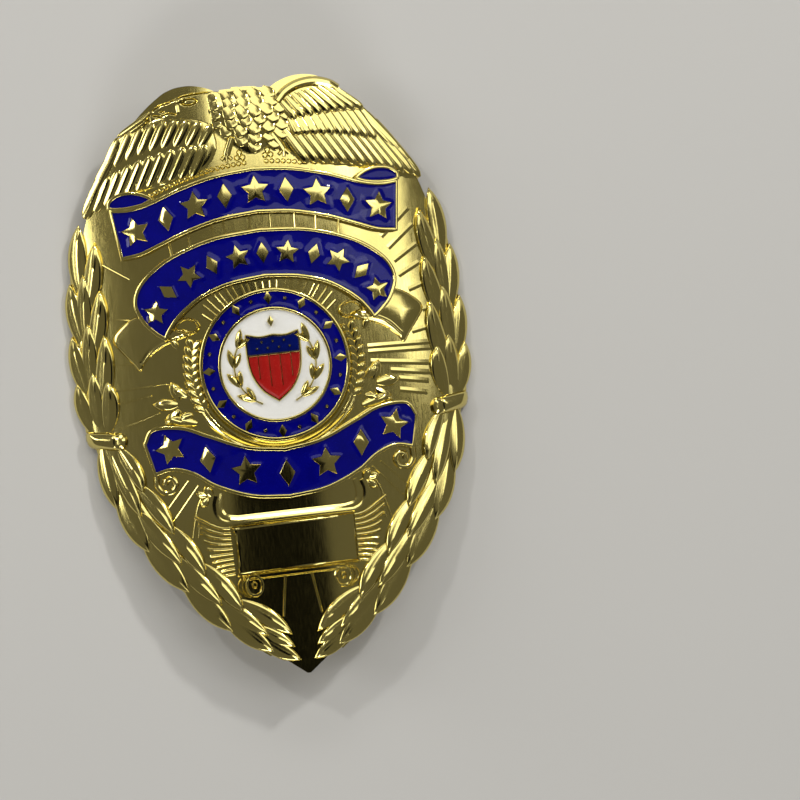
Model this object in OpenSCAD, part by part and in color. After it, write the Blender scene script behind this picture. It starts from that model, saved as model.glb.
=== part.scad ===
/* [Badge] */
// Width across the laurel sprays
badge_w = 54; // [50:0.5:60]
// Height from the eagle's wings to the lower point
badge_h = 79.4; // [74:0.5:88]
// Fall of the curved face from the centre line to the sides
side_drop = 8; // [7.7:0.1:9]
// Fall of the curved face from the centre to the top and the point
end_drop = 1.6; // [0.5:0.1:2]
// Thickness of the struck metal
metal_t = 1.1; // [0.9:0.05:1.4]

/* [Relief] */
// Height of the ribbon and seal floors over the face
floor_h = 0.45; // [0.3:0.05:0.6]
// Height of the gold rims that hold the enamel
rim_h = 0.95; // [0.8:0.05:1.2]
// Width of the gold rims
rim_w = 0.4; // [0.3:0.05:0.5]
// Height of the laurel leaves at their thickest
leaf_h = 1.25; // [0.9:0.05:1.5]
// Height of the wing feathers
feather_h = 0.95; // [0.6:0.05:1.2]
// Stars and lozenges on the upper ribbon
upper_count = 9; // [5:2:11]
// Stars and lozenges on the middle ribbon
middle_count = 11; // [7:2:13]
// Stars and lozenges on the lower ribbon
lower_count = 7; // [5:2:9]
// Small lozenges on the ring of the seal
ring_stars = 12; // [8:2:16]

/* [Enamel] */
// Gap between the enamel and the gold
enamel_gap = 0.06; // [0.04:0.01:0.1]
// Thickness of the enamel
enamel_t = 0.36; // [0.2:0.02:0.4]

/* [Pin] */
// Diameter of the pin wire
pin_d = 1.2; // [1:0.05:1.25]
// Height of the pin axis over the resting surface
pin_z = 1.9; // [1.85:0.05:2]
// Distance of the hinge rivet below the seal centre
hinge_drop = 24.6; // [23:0.1:26]
// Distance of the pin's tip above the seal centre
pin_tip_y = 34.6; // [34.4:0.1:35.4]
// Diameter of the hinge rivet
rivet_d = 0.9; // [0.7:0.05:1]
// Running clearance of the moving pieces, on the radius
run_gap = 0.05; // [0.04:0.01:0.08]
// Outer radius of the two rings of the catch
catch_r = 1.85; // [1.8:0.05:1.85]
// Reach of the catch's lever tabs from the pin axis
tab_reach = 3.4; // [3:0.1:3.5]

/* [Hidden] */
$fn = 48;

gold = "#B08D35";
pin_gold = "#A9883C";
blue = "#10108C";
navy = "#0A1C55";
white = "#F4F2EC";
red = "#A81D1D";

// The drawing has x to the right, y up and its zero at the seal centre. This is its own size,
// and the middle of its height, which lies on the origin of the finished badge.
drawn_w = 54.66;
drawn_h = 79.45;
mid_y = -1.475;
to_w = badge_w / drawn_w;
to_h = badge_h / drawn_h;

// The backs of the two sides, at this distance from the centre line, rest on the surface
rest_x = 26;
crown_h = side_drop * pow(2 * rest_x / drawn_w, 2) + metal_t;
sink = 0.45;
deep = metal_t - 0.15;

// Plain outline, right half: its upper edge outwards from the top centre and its lower edge
// outwards from the point, in as many steps: x, y
top_edge = [[0, 37.5], [3.2, 36.8], [5, 37.8], [8.2, 38.25], [11.4, 37.2], [14.6, 34.9],
    [18, 31.2], [21.2, 26.4], [23.8, 19.4], [25.5, 11], [26.05, 3]];
low_edge = [[0, -41.2], [2.4, -39.4], [5.2, -37.4], [8.2, -35.1], [11.4, -32.3],
    [14.6, -28.9], [18, -24.4], [21.2, -19.2], [23.8, -13], [25.4, -6.5], [26.05, -1]];
// Facets of the face and of the back along each section
face_steps = 5;
back_steps = 4;

// The ribbons' edges, right half from the centre line outwards: x, y
upper_top = [[0, 26.4], [5, 25.95], [10, 24.8], [14.2, 23.4], [17, 22.9], [19.5, 23.1]];
upper_low = [[0, 20.2], [5, 19.75], [9.7, 18.6], [13.4, 17.3], [16, 16.4], [18.6, 16.1]];
middle_top = [[0, 18.2], [6.6, 17.6], [12.6, 15.7], [16.4, 13.1], [17.8, 10.4], [17, 7.7],
    [15.6, 6], [14.3, 4.9]];
middle_low = [[0, 11.6], [4.6, 11.1], [8.2, 10], [10.6, 8.6], [12.1, 7.4], [12.9, 6.5],
    [13.5, 5.7], [13.9, 5]];
lower_top = [[0, -11.1], [5, -10.3], [10, -8.2], [13, -6.9], [16.3, -6.4], [18.5, -7.4]];
lower_low = [[0, -17.8], [5, -17.2], [9.5, -15.4], [12.4, -13.4], [15, -12.5], [17.4, -12.9]];
// Share of each ribbon's length that its ornaments span, and their radius
upper_row = [0.87, 1.9];
middle_row = [0.82, 1.6];
lower_row = [0.84, 2];
// The folded end of the upper ribbon, from the inside outwards: x, upper y, lower y
fold = [[13.9, 23.9, 23.4], [16.5, 24.9, 22.9], [19.6, 23.9, 23.1]];

// Radii of the seal, and of the moulding under its lower half
seal_r = 10.15;
ring_in_r = 7.7;
seal_sides = 30;
moulding_r = 11.3;
// Right half of the small heraldic shield on the seal, from the top centre: x, y
crest_half = [[0, 3.9], [1.8, 3.75], [3.5, 4.2], [3.55, 1.6], [3.2, -1], [2, -3.2], [0, -4.8]];
chief_y = 1.4;
chief_bar = 0.6;
crest_floor = floor_h + 0.1;
// Small laurel beside it: radius of its arc, angles of its leaves, leaf length and width
sprig_r = 5.5;
sprig_leaf = [2.8, 1.3];
sprig_angles = [for (a = [-56 : 28 : 28]) a];

// Stems of the two laurel sprays, right side, from the tie to the end: x, y
upper_stem = [[23.2, -7], [24.3, -1], [24.6, 6], [24.2, 13], [23.1, 20.4]];
lower_stem = [[23.2, -8], [21.6, -15.3], [18.3, -21.2], [13.9, -26.7], [9, -32.2],
    [3.6, -36.8], [1.4, -38.4]];
// Leaves in threes along a stem: distance of their tips from the tie, and how far they spread
upper_threes = [[7.6, 2.6], [13.8, 2.6], [20.6, 2.5], [28, 1.2]];
lower_threes = [[7.8, 2.4], [14.6, 2.5], [21.6, 2.5], [28.8, 2.5], [35.4, 2.2], [38.6, 0.8]];
leaf_len = 8.6;
leaf_w = 2.8;
// Leaf from base to tip: place along it, half width, height, all as parts of the whole
leaf_shape = [[0, 0.6, 0.6], [0.52, 1, 1], [1, 0.1, 0.6]];
feather_shape = [[0, 0.8, 0.6], [0.8, 1, 1], [1, 0.35, 0.75]];

// Feathers in rows: count, first root x, y, last root x, y, first and last angle,
// first and last length, width, height as a part of feather_h
left_feathers = [
    [4, -17.4, 29.8, -20.4, 26.4, 246, 243, 6.5, 4.5, 1.6, 0.7],
    [8, -4.6, 30.6, -16.8, 30, 240, 245, 4.6, 5.5, 1.7, 0.85],
    [3, -14.6, 33.4, -17.8, 31, 236, 242, 6, 5.5, 1.5, 0.75],
    [7, -4.4, 33.2, -14.4, 34, 232, 240, 3.6, 4.6, 1.7, 1]];
right_feathers = [
    [4, 15.6, 32.4, 18.8, 28.4, 306, 297, 8.6, 6.5, 1.5, 0.6],
    [8, 5.2, 30.4, 16.4, 30.2, 300, 300, 4.6, 6.2, 1.7, 0.75],
    [6, 5.8, 33, 14.4, 33.2, 312, 308, 3, 4.6, 1.6, 0.9],
    [5, 5.6, 35.6, 12.8, 35.8, 318, 312, 3.2, 4.2, 1.5, 1]];
// Rows of small feathers on the breast: y, count
scale_rows = [[36.6, 5], [35.2, 6], [33.8, 5], [32.4, 4], [31, 3]];

// Rays of the field on the right: angle, start and end radius
field_rays = [[-15, 16.5, 21.5], [-9, 14.5, 21], [-3, 13.5, 21], [3, 12.5, 21],
    [25, 20, 23.3], [32, 20.8, 24.6], [41, 21.9, 24.4]];
gap_rays = [50, 58, 66, 77];

// Plaque: half widths and heights of its moulding and panel
plaque_half = 8;
plaque_top = -20.5;
plaque_low = -27.2;
flutes = 6;
volute = [6.3, -28.8];

// Hinge: width between the ears, ear thickness and radius, plate size
hinge_y = -hinge_drop;
ear_gap = 2.1;
ear_t = 0.8;
ear_r = 1.4;
eye_r = 1.15;
rivet_fit = 0.02;
head_r = 0.8;
head_t = 0.4;
// The pin's tapered neck beside its eye: radius at the rivet's axis, and reach from there
neck = [0.9, 1.95];
// Where the pin starts to narrow, and the radius of its tip
taper_y = 29.6;
tip_r = 0.44;
hinge_plate = [8, 4.2];
plate_t = 0.9;

// Catch: the two rings' places along the pin, their thickness, and the roller between them
ring_y = [30.7, 33.3];
ring_t = 1;
ring_wall = 0.35;
catch_plate = [6.4, 4.8];
tab_w = 1.1;
tab_t = 0.7;

// Height of the plain curved face over the resting surface
function face_z(p) = crown_h - side_drop * pow(2 * p.x / drawn_w, 2)
    - end_drop * pow(2 * p.y / drawn_h, 2);
function turned(v, a) = [v.x * cos(a) - v.y * sin(a), v.x * sin(a) + v.y * cos(a)];
function arc(r, from, to, n) = [for (i = [0 : n]) turned([r, 0], from + (to - from) * i / n)];
function heading(p, i) =
    let (v = p[min(i + 1, len(p) - 1)] - p[max(i - 1, 0)]) v / norm(v);

// Smooth curve through the points of a table, with k steps from each point to the next
function through(p, k) = [
    for (i = [0 : len(p) - 2], j = [0 : k - 1]) between(p, i, j / k),
    p[len(p) - 1]];
function between(p, i, t) =
    let (a = p[max(i - 1, 0)], b = p[i], c = p[i + 1], d = p[min(i + 2, len(p) - 1)])
    b + t * (c - a) / 2 + t * t * (a - 2.5 * b + 2 * c - d / 2)
    + t * t * t * (b * 3 / 2 - a / 2 - c * 3 / 2 + d / 2);
// A table of the right half becomes the whole width, from left to right
function both_sides(p) = concat([for (i = [len(p) - 1 : -1 : 1]) [-p[i].x, p[i].y]], p);
// The same, as a loop that doesn't repeat its last point
function loop(p) = let (q = both_sides(p)) [for (i = [0 : len(q) - 2]) q[i]];

// Corners of a star, or of a lozenge where it has two tips
function star(tips, r_out, r_in, turn) =
    [for (i = [0 : 2 * tips - 1]) turned([i % 2 == 0 ? r_out : r_in, 0], turn + i * 180 / tips)];
// Length of a path up to each of its points
function lengths(p) = [for (i = 0, sum = 0; i < len(p); sum = sum
    + (i + 1 < len(p) ? norm(p[i + 1] - p[i]) : 0), i = i + 1) sum];
// Index of the path's point that lies at a distance from its start
function index_at(p, d) = max([for (i = [0 : len(p) - 1]) if (lengths(p)[i] <= d + 0.01) i]);
// Ornaments along the middle of a ribbon: x, y, angle, number of tips
function ornaments(a, b, count, row) =
    let (top = both_sides(through(a, 12)), low = both_sides(through(b, 12)),
        mid = (top + low) / 2, all = lengths(mid)[len(mid) - 1])
    [for (k = [0 : count - 1]) let (
        i = index_at(mid, all * (0.5 + row[0] * (k / (count - 1) - 0.5))),
        across = top[i] - low[i])
        [mid[i].x, mid[i].y, atan2(across.y, across.x), k % 2 == 0 ? 5 : 2]];
function seal_circle(r) = [for (i = [0 : seal_sides - 1]) turned([r, 0], -i * 360 / seal_sides)];
function sprig_place(a) = turned([sprig_r, 0], a);
function ring_ornaments() = [for (k = [0 : ring_stars - 1]) let (
    a = 90 + k * 360 / ring_stars, place = turned([(seal_r + ring_in_r) / 2, 0], a))
    [place.x, place.y, a, 2]];

// A strip that lies on the face between two edges, a on the left and b on the right.
// Each row of a profile has a place across, 0 to 1, and a height over the face. Nothing reaches
// below the resting surface.
module band(a, b, profiles, closed = false) {
    n = len(a);
    m = len(profiles[0]);
    points = [for (i = [0 : n - 1], row = profiles[i % len(profiles)])
        let (p = a[i] + (b[i] - a[i]) * row[0]) [p.x, p.y, max(0, face_z(p) + row[1])]];
    sides = [for (i = [0 : closed ? n - 1 : n - 2], j = [0 : m - 1])
        let (near = i * m, far = ((i + 1) % n) * m, k = (j + 1) % m)
        each [[near + j, far + j, far + k], [near + j, far + k, near + k]]];
    ends = closed ? [] : [[for (j = [0 : m - 1]) j],
        [for (j = [m - 1 : -1 : 0]) (n - 1) * m + j]];
    polyhedron(points, concat(sides, ends), convexity = 4);
}

// A ridge along a path, with its half width and its height at each point
module ridge(path, half_w, height, shoulder = 0, under = sink) {
    side = [for (i = [0 : len(path) - 1]) turned(heading(path, i), 90) * half_w[i]];
    band(path + side, path - side, [for (h = height) shoulder > 0
        ? [[0, -under], [0, h * shoulder], [0.5, h], [1, h * shoulder], [1, -under]]
        : [[0, -under], [0.5, h], [1, -under]]]);
}
// A ridge of one width and height
module even_ridge(path, w, h) {
    ridge(path, [for (p = path) w / 2], [for (p = path) h]);
}

// A solid over a closed outline: its edge at one height and its middle at another
module mound(place, shape, edge_h, peak_h) {
    n = len(shape);
    rim = [for (p = shape) place + p];
    points = concat([for (p = rim) [p.x, p.y, face_z(p) + edge_h]],
        [for (p = rim) [p.x, p.y, face_z(p) - sink]],
        [[place.x, place.y, face_z(place) + peak_h], [place.x, place.y, face_z(place) - sink]]);
    polyhedron(points, [for (i = [0 : n - 1]) let (k = (i + 1) % n)
        each [[2 * n, k, i], [i, k, n + i], [k, n + k, n + i], [2 * n + 1, n + i, n + k]]]);
}

// A leaf or feather from its base
module blade(shape, place, angle, len, w, h, under = sink) {
    ridge([for (s = shape) place + turned([s[0] * len, 0], angle)],
          [for (s = shape) s[1] * w / 2], [for (s = shape) s[2] * h], under = under);
}

// The curved wall without its relief
module wall() {
    band(both_sides(top_edge), both_sides(low_edge), [concat(
        [for (k = [0 : face_steps]) [k / face_steps, 0]],
        [for (k = [back_steps : -1 : 0]) [k / back_steps, -metal_t]])]);
}

// A gold tray for enamel between two edges: a rim along both edges and a sunk floor
module tray(a, b) {
    top = both_sides(a);
    low = both_sides(b);
    band(top, low, [for (i = [0 : len(top) - 1])
        let (u = min(0.45, rim_w / norm(top[i] - low[i])))
        [[0, -sink], [0, rim_h], [u, rim_h], [u, floor_h],
         [1 - u, floor_h], [1 - u, rim_h], [1, rim_h], [1, -sink]]]);
}
// The rim across each end of a tray
module end_bars(a, b) {
    for (side = [-1, 1])
        even_ridge([for (p = [a[len(a) - 1], b[len(b) - 1]]) [side * p.x, p.y]], 2 * rim_w, rim_h);
}
module ribbons() {
    tray(upper_top, upper_low);
    tray(middle_top, middle_low);
    tray(lower_top, lower_low);
    end_bars(upper_top, upper_low);
    end_bars(lower_top, lower_low);
    set_ornaments(ornaments(upper_top, upper_low, upper_count, upper_row), upper_row[1]);
    set_ornaments(ornaments(middle_top, middle_low, middle_count, middle_row), middle_row[1]);
    set_ornaments(ornaments(lower_top, lower_low, lower_count, lower_row), lower_row[1]);
    for (side = [0, 1]) mirror([side, 0]) {
        even_ridge([for (f = fold) [f[0], f[1]]], 0.8, rim_h);
        ribbon_tail();
    }
}
// The gold tail folded behind each end of the middle ribbon
module ribbon_tail() {
    band([[13.2, 6.4], [18.4, 7.9], [20.9, 6.1]], [[11.2, 4.4], [15.4, 3.8], [17.4, 1.3]],
         [[[0, -sink], [0, 0.35], [0.5, 0.5], [1, 0.35], [1, -sink]]]);
    even_ridge([[9.6, 6.2], [10.8, 7.1], [12.3, 6.4], [11.2, 5]], 0.9, 0.8);
}
// Faceted stars and lozenges on a tray's floor
module set_ornaments(places, r) {
    for (o = places)
        mound([o[0], o[1]], star(o[3], o[3] == 5 ? r : r * 0.85, r * 0.42, o[2]),
              floor_h - 0.2, rim_h + 0.4);
}

// Rims and floors of the seal, and the moulding under its lower half
module seal() {
    u = rim_w / (seal_r + rim_w - ring_in_r);
    band(seal_circle(seal_r), seal_circle(ring_in_r - rim_w),
        [[[0, -sink], [0, rim_h], [u, rim_h], [u, floor_h],
          [1 - u, floor_h], [1 - u, rim_h], [1, rim_h], [1, -sink]]], closed = true);
    mound([0, 0], [for (i = [seal_sides - 1 : -1 : 0]) seal_circle(ring_in_r - 0.1)[i]],
          floor_h, floor_h);
    band(arc(moulding_r, 368, 172, 14), arc(seal_r - 0.1, 368, 172, 14),
        [[[0, -sink], [0, 0.5], [0.5, 0.85], [1, 0.7], [1, -sink]]]);
    for (o = ring_ornaments())
        mound([o[0], o[1]], star(2, 0.9, 0.6, o[2]), floor_h - 0.2, rim_h + 0.2);
    crest();
    for (side = [0, 1]) mirror([side, 0]) for (a = sprig_angles)
        blade(leaf_shape, sprig_place(a), a + 97, sprig_leaf.x, sprig_leaf.y, rim_h);
}
// Small heraldic shield: a rim round a raised floor, and a bar under its upper part
module crest() {
    edge = loop(crest_half);
    band([for (p = edge) p * 1.06], [for (p = edge) [0, chief_y] + p * 0.05],
         [[[0, -sink], [0, floor_h], [0.06, rim_h], [0.13, crest_floor], [1, crest_floor],
           [1, -sink]]], closed = true);
    even_ridge([[-3.5, chief_y], [3.5, chief_y]], chief_bar, rim_h);
}

// A laurel spray: in each three the middle leaf lies over the two outer ones
module spray(stem, threes) {
    path = through(stem, 8);
    for (t = threes, side = [-1, 1, 0]) {
        tip_i = index_at(path, t[0] + (side == 0 ? 0.8 : 0));
        base_i = index_at(path, max(0, t[0] - leaf_len));
        base = path[base_i] + turned(heading(path, base_i), -90) * side * 0.35;
        reach = path[tip_i] + turned(heading(path, tip_i), -90) * side * t[1] - base;
        blade(leaf_shape, base, atan2(reach.y, reach.x), norm(reach), leaf_w,
              leaf_h * (side == 0 ? 1 : 0.85), side == 0 ? sink : deep);
    }
}
module laurel() {
    for (side = [0, 1]) mirror([side, 0]) {
        spray(upper_stem, upper_threes);
        spray(lower_stem, lower_threes);
        ridge([[20.6, -8], [23.2, -7.2], [25.7, -5.9]], [1.1, 1.2, 1], [1.1, 1.45, 1.1], 0.5, deep);
    }
}

// Rows of feathers, from their tables
module feathers(rows) {
    for (r = rows, k = [0 : r[0] - 1]) {
        t = k / (r[0] - 1);
        blade(feather_shape, [r[1] + (r[3] - r[1]) * t, r[2] + (r[4] - r[2]) * t],
              r[5] + (r[6] - r[5]) * t, r[7] + (r[8] - r[7]) * t, r[9], feather_h * r[10]);
    }
}
// Wings, breast, head and claws
module eagle() {
    feathers(left_feathers);
    feathers(right_feathers);
    // Breast, from the neck to the legs, with its small feathers
    ridge([[0.6, 37.2], [0.4, 34], [0, 31], [-0.3, 28.6]], [4.6, 5, 3.4, 1.6],
          [0.8, 1.3, 1.2, 0.8], 0.6);
    for (row = scale_rows, k = [0 : row[1] - 1])
        mound([0.4 + (k - (row[1] - 1) / 2) * 1.6, row[0]], star(2, 1, 0.65, 90), 0.5, 1.75);
    // Head, turned to the left, with its beak
    ridge([[-3.6, 35.4], [-7.6, 35.75], [-10.4, 35.45], [-12.2, 35], [-12.9, 34.2]],
          [1.9, 1.7, 0.95, 0.45, 0.15], [1.2, 1.45, 1.25, 1, 0.6], 0.65);
    // Claws on the branch over the upper ribbon
    for (x = [-1.3, 2.7]) mound([x, 28.3], star(2, 0.9, 0.9, 0), 0.3, 1.2);
    even_ridge([for (x = [-7 : 3.5 : 7]) [x, 27.5 - x * x * 0.012]], 1.1, 0.7);
}

// Thin rays from the seal centre over the field
module rays() {
    for (side = [0, 1]) mirror([side, 0]) {
        for (r = field_rays) ray(r[0], r[1], r[2]);
        for (a = gap_rays) ray(a + side * 2, seal_r - 0.25, seal_r + 1.7);
    }
}
module ray(a, from, to) {
    even_ridge([for (r = to - from > 4 ? [from, (from + to) / 2, to] : [from, to])
        turned([r, 0], a)], 0.5, 0.3);
}

// Scroll plaque: moulding, plain panel, fluting at its sides and a volute at each lower corner
module plaque() {
    band([[-9.9, -16.4], [-8.4, -19.9], [8.4, -19.9], [9.9, -16.4]],
         [[-10.2, -18.2], [-8.6, -20.9], [8.6, -20.9], [10.2, -18.2]],
         [[[0, -sink], [0, 0.6], [0.5, 1.1], [1, 0.7], [1, -sink]]]);
    band([for (x = [-1 : 1]) [x * plaque_half, plaque_top]],
         [for (x = [-1 : 1]) [x * (plaque_half - 0.4), plaque_low]],
         [[[0, -sink], [0, 0.6], [1, 0.6], [1, -sink]]]);
    even_ridge([for (x = [-1, 0, 1]) [x * (plaque_half - 0.5), plaque_low]], 0.6, 0.9);
    for (side = [0, 1]) mirror([side, 0]) {
        for (k = [0 : flutes - 1]) {
            y = plaque_top + 0.4 - k * 1.25;
            ridge([[plaque_half, y - 0.4], [10.2, y], [12.6 - k * 0.4, y + 1.2 - k * 0.38]],
                  [0.45, 0.6, 0.6], [0.6, 0.85, 0.6]);
        }
        band([for (a = [0 : 45 : 315]) volute + turned([1.75, 0], -a)],
             [for (a = [0 : 45 : 315]) volute + turned([0.8, 0], -a)],
             [[[0, -sink], [0.5, 1.1], [1, -sink]]], closed = true);
        even_ridge([[1.8, -27.8], [2.4, -33]], 0.45, 0.35);
    }
}

// Bracket with two ears for the rivet, on an oval plate
module hinge_bracket() {
    plate_z = face_z([0, hinge_y]) - metal_t;
    difference() {
        union() {
            translate([0, hinge_y, plate_z - plate_t + 0.25]) linear_extrude(plate_t) {
                square([hinge_plate.x - hinge_plate.y, hinge_plate.y], center = true);
                for (side = [-1, 1])
                    translate([side * (hinge_plate.x - hinge_plate.y) / 2, 0])
                        circle(d = hinge_plate.y);
            }
            for (side = [-1, 1]) translate([side * (ear_gap + ear_t) / 2, hinge_y, pin_z]) {
                rotate([0, 90, 0]) cylinder(r = ear_r, h = ear_t, center = true);
                translate([-ear_t / 2, -ear_r, 0]) cube([ear_t, 2 * ear_r, plate_z - pin_z]);
            }
            translate([-ear_gap / 2 - ear_t, hinge_y - ear_r - 0.7, pin_z + 1.2])
                cube([ear_gap + 2 * ear_t, 0.7, plate_z - pin_z - 1.2]);
        }
        translate([0, hinge_y, pin_z]) rotate([0, 90, 0])
            cylinder(r = rivet_d / 2 + rivet_fit, h = ear_gap + 2 * ear_t + 1, center = true);
    }
}
// Two open rings that the roller turns in, on posts and an oval plate
module catch_housing() {
    mid = (ring_y[0] + ring_y[1] + ring_t) / 2;
    plate_z = face_z([0, mid]) - metal_t;
    translate([0, mid, plate_z - 0.4]) linear_extrude(0.65) {
        square([catch_plate.x - catch_plate.y, catch_plate.y], center = true);
        for (side = [-1, 1])
            translate([side * (catch_plate.x - catch_plate.y) / 2, 0]) circle(d = catch_plate.y);
    }
    for (y = ring_y) translate([0, y, pin_z]) difference() {
        union() {
            rotate([-90, 0, 0]) cylinder(r = catch_r, h = ring_t);
            translate([-1.3, 0, 0]) cube([2.6, ring_t, plate_z - pin_z]);
        }
        rotate([-90, 0, 0]) translate([0, 0, -1])
            cylinder(r = catch_r - ring_wall, h = ring_t + 2);
        translate([-pin_d / 2 - 0.15, -1, -2 * catch_r])
            cube([pin_d + 0.3, ring_t + 2, 2 * catch_r]);
    }
}

module shield() {
    color(gold) translate([0, -mid_y * to_h, 0]) {
        resize([badge_w, badge_h, 0]) {
            wall();
            ribbons();
            seal();
            laurel();
            eagle();
            rays();
            plaque();
        }
        hinge_bracket();
        catch_housing();
    }
}

// Places a piece of the drawing on the finished badge
module on_badge() {
    translate([0, -mid_y * to_h, 0]) scale([to_w, to_h, 1]) children();
}
// A layer of enamel that follows the face over a floor, inside the drawn shape, which lies
// within half_x of the centre line and between two heights. Its columns are odd in number, so
// that no fold runs through a corner on the centre line.
module enamel(low_y, high_y, half_x, floor = floor_h) {
    low = floor + enamel_gap;
    columns = 2 * ceil(half_x / 3) + 1;
    steps = ceil((high_y - low_y) / 8);
    rows = [for (k = [0 : steps]) low_y - 0.4 + (high_y - low_y + 0.8) * k / steps];
    on_badge() intersection() {
        band([for (y = rows) [-half_x, y]], [for (y = rows) [half_x, y]], [concat(
            [for (k = [0 : columns]) [k / columns, low + enamel_t]],
            [for (k = [columns : -1 : 0]) [k / columns, low]])]);
        linear_extrude(2 * crown_h) children();
    }
}
// The gaps in the enamel round the ornaments that stand through it
module holes(places, r_out, r_in) {
    for (o = places) translate([o[0], o[1]])
        polygon(star(o[3], (o[3] == 5 ? r_out : r_out * 0.85) + 3 * enamel_gap,
                     r_in + enamel_gap, o[2]));
}
// The enamel between a ribbon's rims, round its ornaments
module ribbon_enamel(a, b, places, r) {
    top = both_sides(a);
    low = both_sides(b);
    heights = [for (p = concat(a, b)) p.y];
    enamel(min(heights), max(heights), 21) difference() {
        offset(delta = -rim_w - enamel_gap)
            polygon(concat(top, [for (i = [len(low) - 1 : -1 : 0]) low[i]]));
        holes(places, r, r * 0.42);
    }
}
module enamel_upper() {
    color(blue) ribbon_enamel(upper_top, upper_low,
        ornaments(upper_top, upper_low, upper_count, upper_row), upper_row[1]);
}
module enamel_middle() {
    color(blue) ribbon_enamel(middle_top, middle_low,
        ornaments(middle_top, middle_low, middle_count, middle_row), middle_row[1]);
}
module enamel_lower() {
    color(blue) ribbon_enamel(lower_top, lower_low,
        ornaments(lower_top, lower_low, lower_count, lower_row), lower_row[1]);
}
module enamel_ring() {
    color(blue) enamel(-seal_r, seal_r, seal_r) difference() {
        polygon(seal_circle(seal_r - rim_w - enamel_gap));
        polygon(seal_circle(ring_in_r + enamel_gap));
        holes(ring_ornaments(), 0.9 / 0.85, 0.6);
    }
}
module enamel_white() {
    color(white) enamel(-ring_in_r, ring_in_r, ring_in_r) difference() {
        polygon(seal_circle(ring_in_r - rim_w - enamel_gap));
        offset(delta = enamel_gap) polygon([for (p = loop(crest_half)) p * 1.06]);
        for (side = [0, 1]) mirror([side, 0]) for (a = sprig_angles)
            translate(sprig_place(a)) rotate(a + 97) offset(delta = enamel_gap)
                polygon([for (side = [-1, 1], k = [0 : len(leaf_shape) - 1])
                    let (s = leaf_shape[side < 0 ? k : len(leaf_shape) - 1 - k])
                    [s[0] * sprig_leaf.x, side * s[1] * sprig_leaf.y / 2]]);
    }
}
// The field of the small shield, inside its rim
module crest_shape() {
    polygon([for (p = loop(crest_half)) p * 0.9]);
}
module enamel_red() {
    color(red) enamel(-5, chief_y, 4, crest_floor) difference() {
        crest_shape();
        translate([-5, chief_y - chief_bar / 2 - enamel_gap]) square(10);
    }
}
module enamel_chief() {
    color(navy) enamel(chief_y, 5, 4, crest_floor) intersection() {
        crest_shape();
        translate([-5, chief_y + chief_bar / 2 + enamel_gap]) square(10);
    }
}

// Turns a shape's axis across the badge and sets it at the rivet
module at_hinge() {
    translate([0, hinge_y - mid_y * to_h, pin_z]) rotate([0, 90, 0]) children();
}
// Rivet with a head at each end, through the two ears
module hinge_rivet() {
    head_x = ear_gap / 2 + ear_t + run_gap;
    color(pin_gold) at_hinge() {
        cylinder(d = rivet_d, h = 2 * (head_x + head_t / 2), center = true);
        for (side = [-1, 1]) translate([0, 0, side * (head_x + head_t / 2)])
            cylinder(r = head_r, h = head_t, center = true);
    }
}
// Pin wire that narrows through the catch to a rounded tip, with a neck and an eye that turns on
// the rivet
module pin_stem() {
    straight = taper_y - hinge_y;
    length = pin_tip_y - hinge_y;
    color(pin_gold) difference() {
        union() {
            at_hinge() cylinder(r = eye_r, h = ear_gap - 2 * run_gap, center = true);
            translate([0, hinge_y - mid_y * to_h, pin_z]) rotate([-90, 0, 0]) {
                cylinder(r1 = neck[0], r2 = pin_d / 2, h = neck[1]);
                cylinder(d = pin_d, h = straight);
                translate([0, 0, straight])
                    cylinder(d1 = pin_d, d2 = 2 * tip_r, h = length - tip_r - straight);
                translate([0, 0, length - tip_r]) sphere(r = tip_r);
            }
        }
        at_hinge() cylinder(r = rivet_d / 2 + run_gap, h = 2 * ear_gap, center = true);
    }
}
// Slotted drum that turns in the two rings, with a lever tab on each side
module catch_roller() {
    collar_y = ring_y[0] + ring_t + run_gap;
    collar_l = ring_y[1] - run_gap - collar_y;
    drum_r = catch_r - ring_wall - run_gap;
    color(pin_gold) translate([0, -mid_y * to_h, pin_z]) difference() {
        union() {
            translate([0, ring_y[0], 0]) rotate([-90, 0, 0])
                cylinder(r = drum_r, h = ring_y[1] + ring_t - ring_y[0]);
            translate([0, collar_y, 0]) rotate([-90, 0, 0])
                cylinder(r = catch_r, h = collar_l);
            for (side = [-1, 1]) {
                translate([side * (tab_reach - tab_w / 2) / 2, collar_y + collar_l / 2, 0])
                    cube([tab_reach - tab_w / 2, tab_w, tab_t], center = true);
                translate([side * (tab_reach - tab_w / 2), collar_y + collar_l / 2, 0])
                    cylinder(d = tab_w, h = tab_t, center = true);
            }
        }
        translate([0, ring_y[0] - 1, 0]) rotate([-90, 0, 0])
            cylinder(d = pin_d + 2 * run_gap, h = 2 * ring_t + 4);
        translate([-pin_d / 2 - run_gap, ring_y[0] - 1, -2 * catch_r])
            cube([pin_d + 2 * run_gap, 2 * ring_t + 4, 2 * catch_r]);
    }
}

shield();
enamel_upper();
enamel_middle();
enamel_lower();
enamel_ring();
enamel_white();
enamel_red();
enamel_chief();
hinge_rivet();
pin_stem();
catch_roller();
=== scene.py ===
import math

import bmesh
import bpy
import numpy as np
from mathutils import Matrix, Vector
from mathutils.bvhtree import BVHTree


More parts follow.
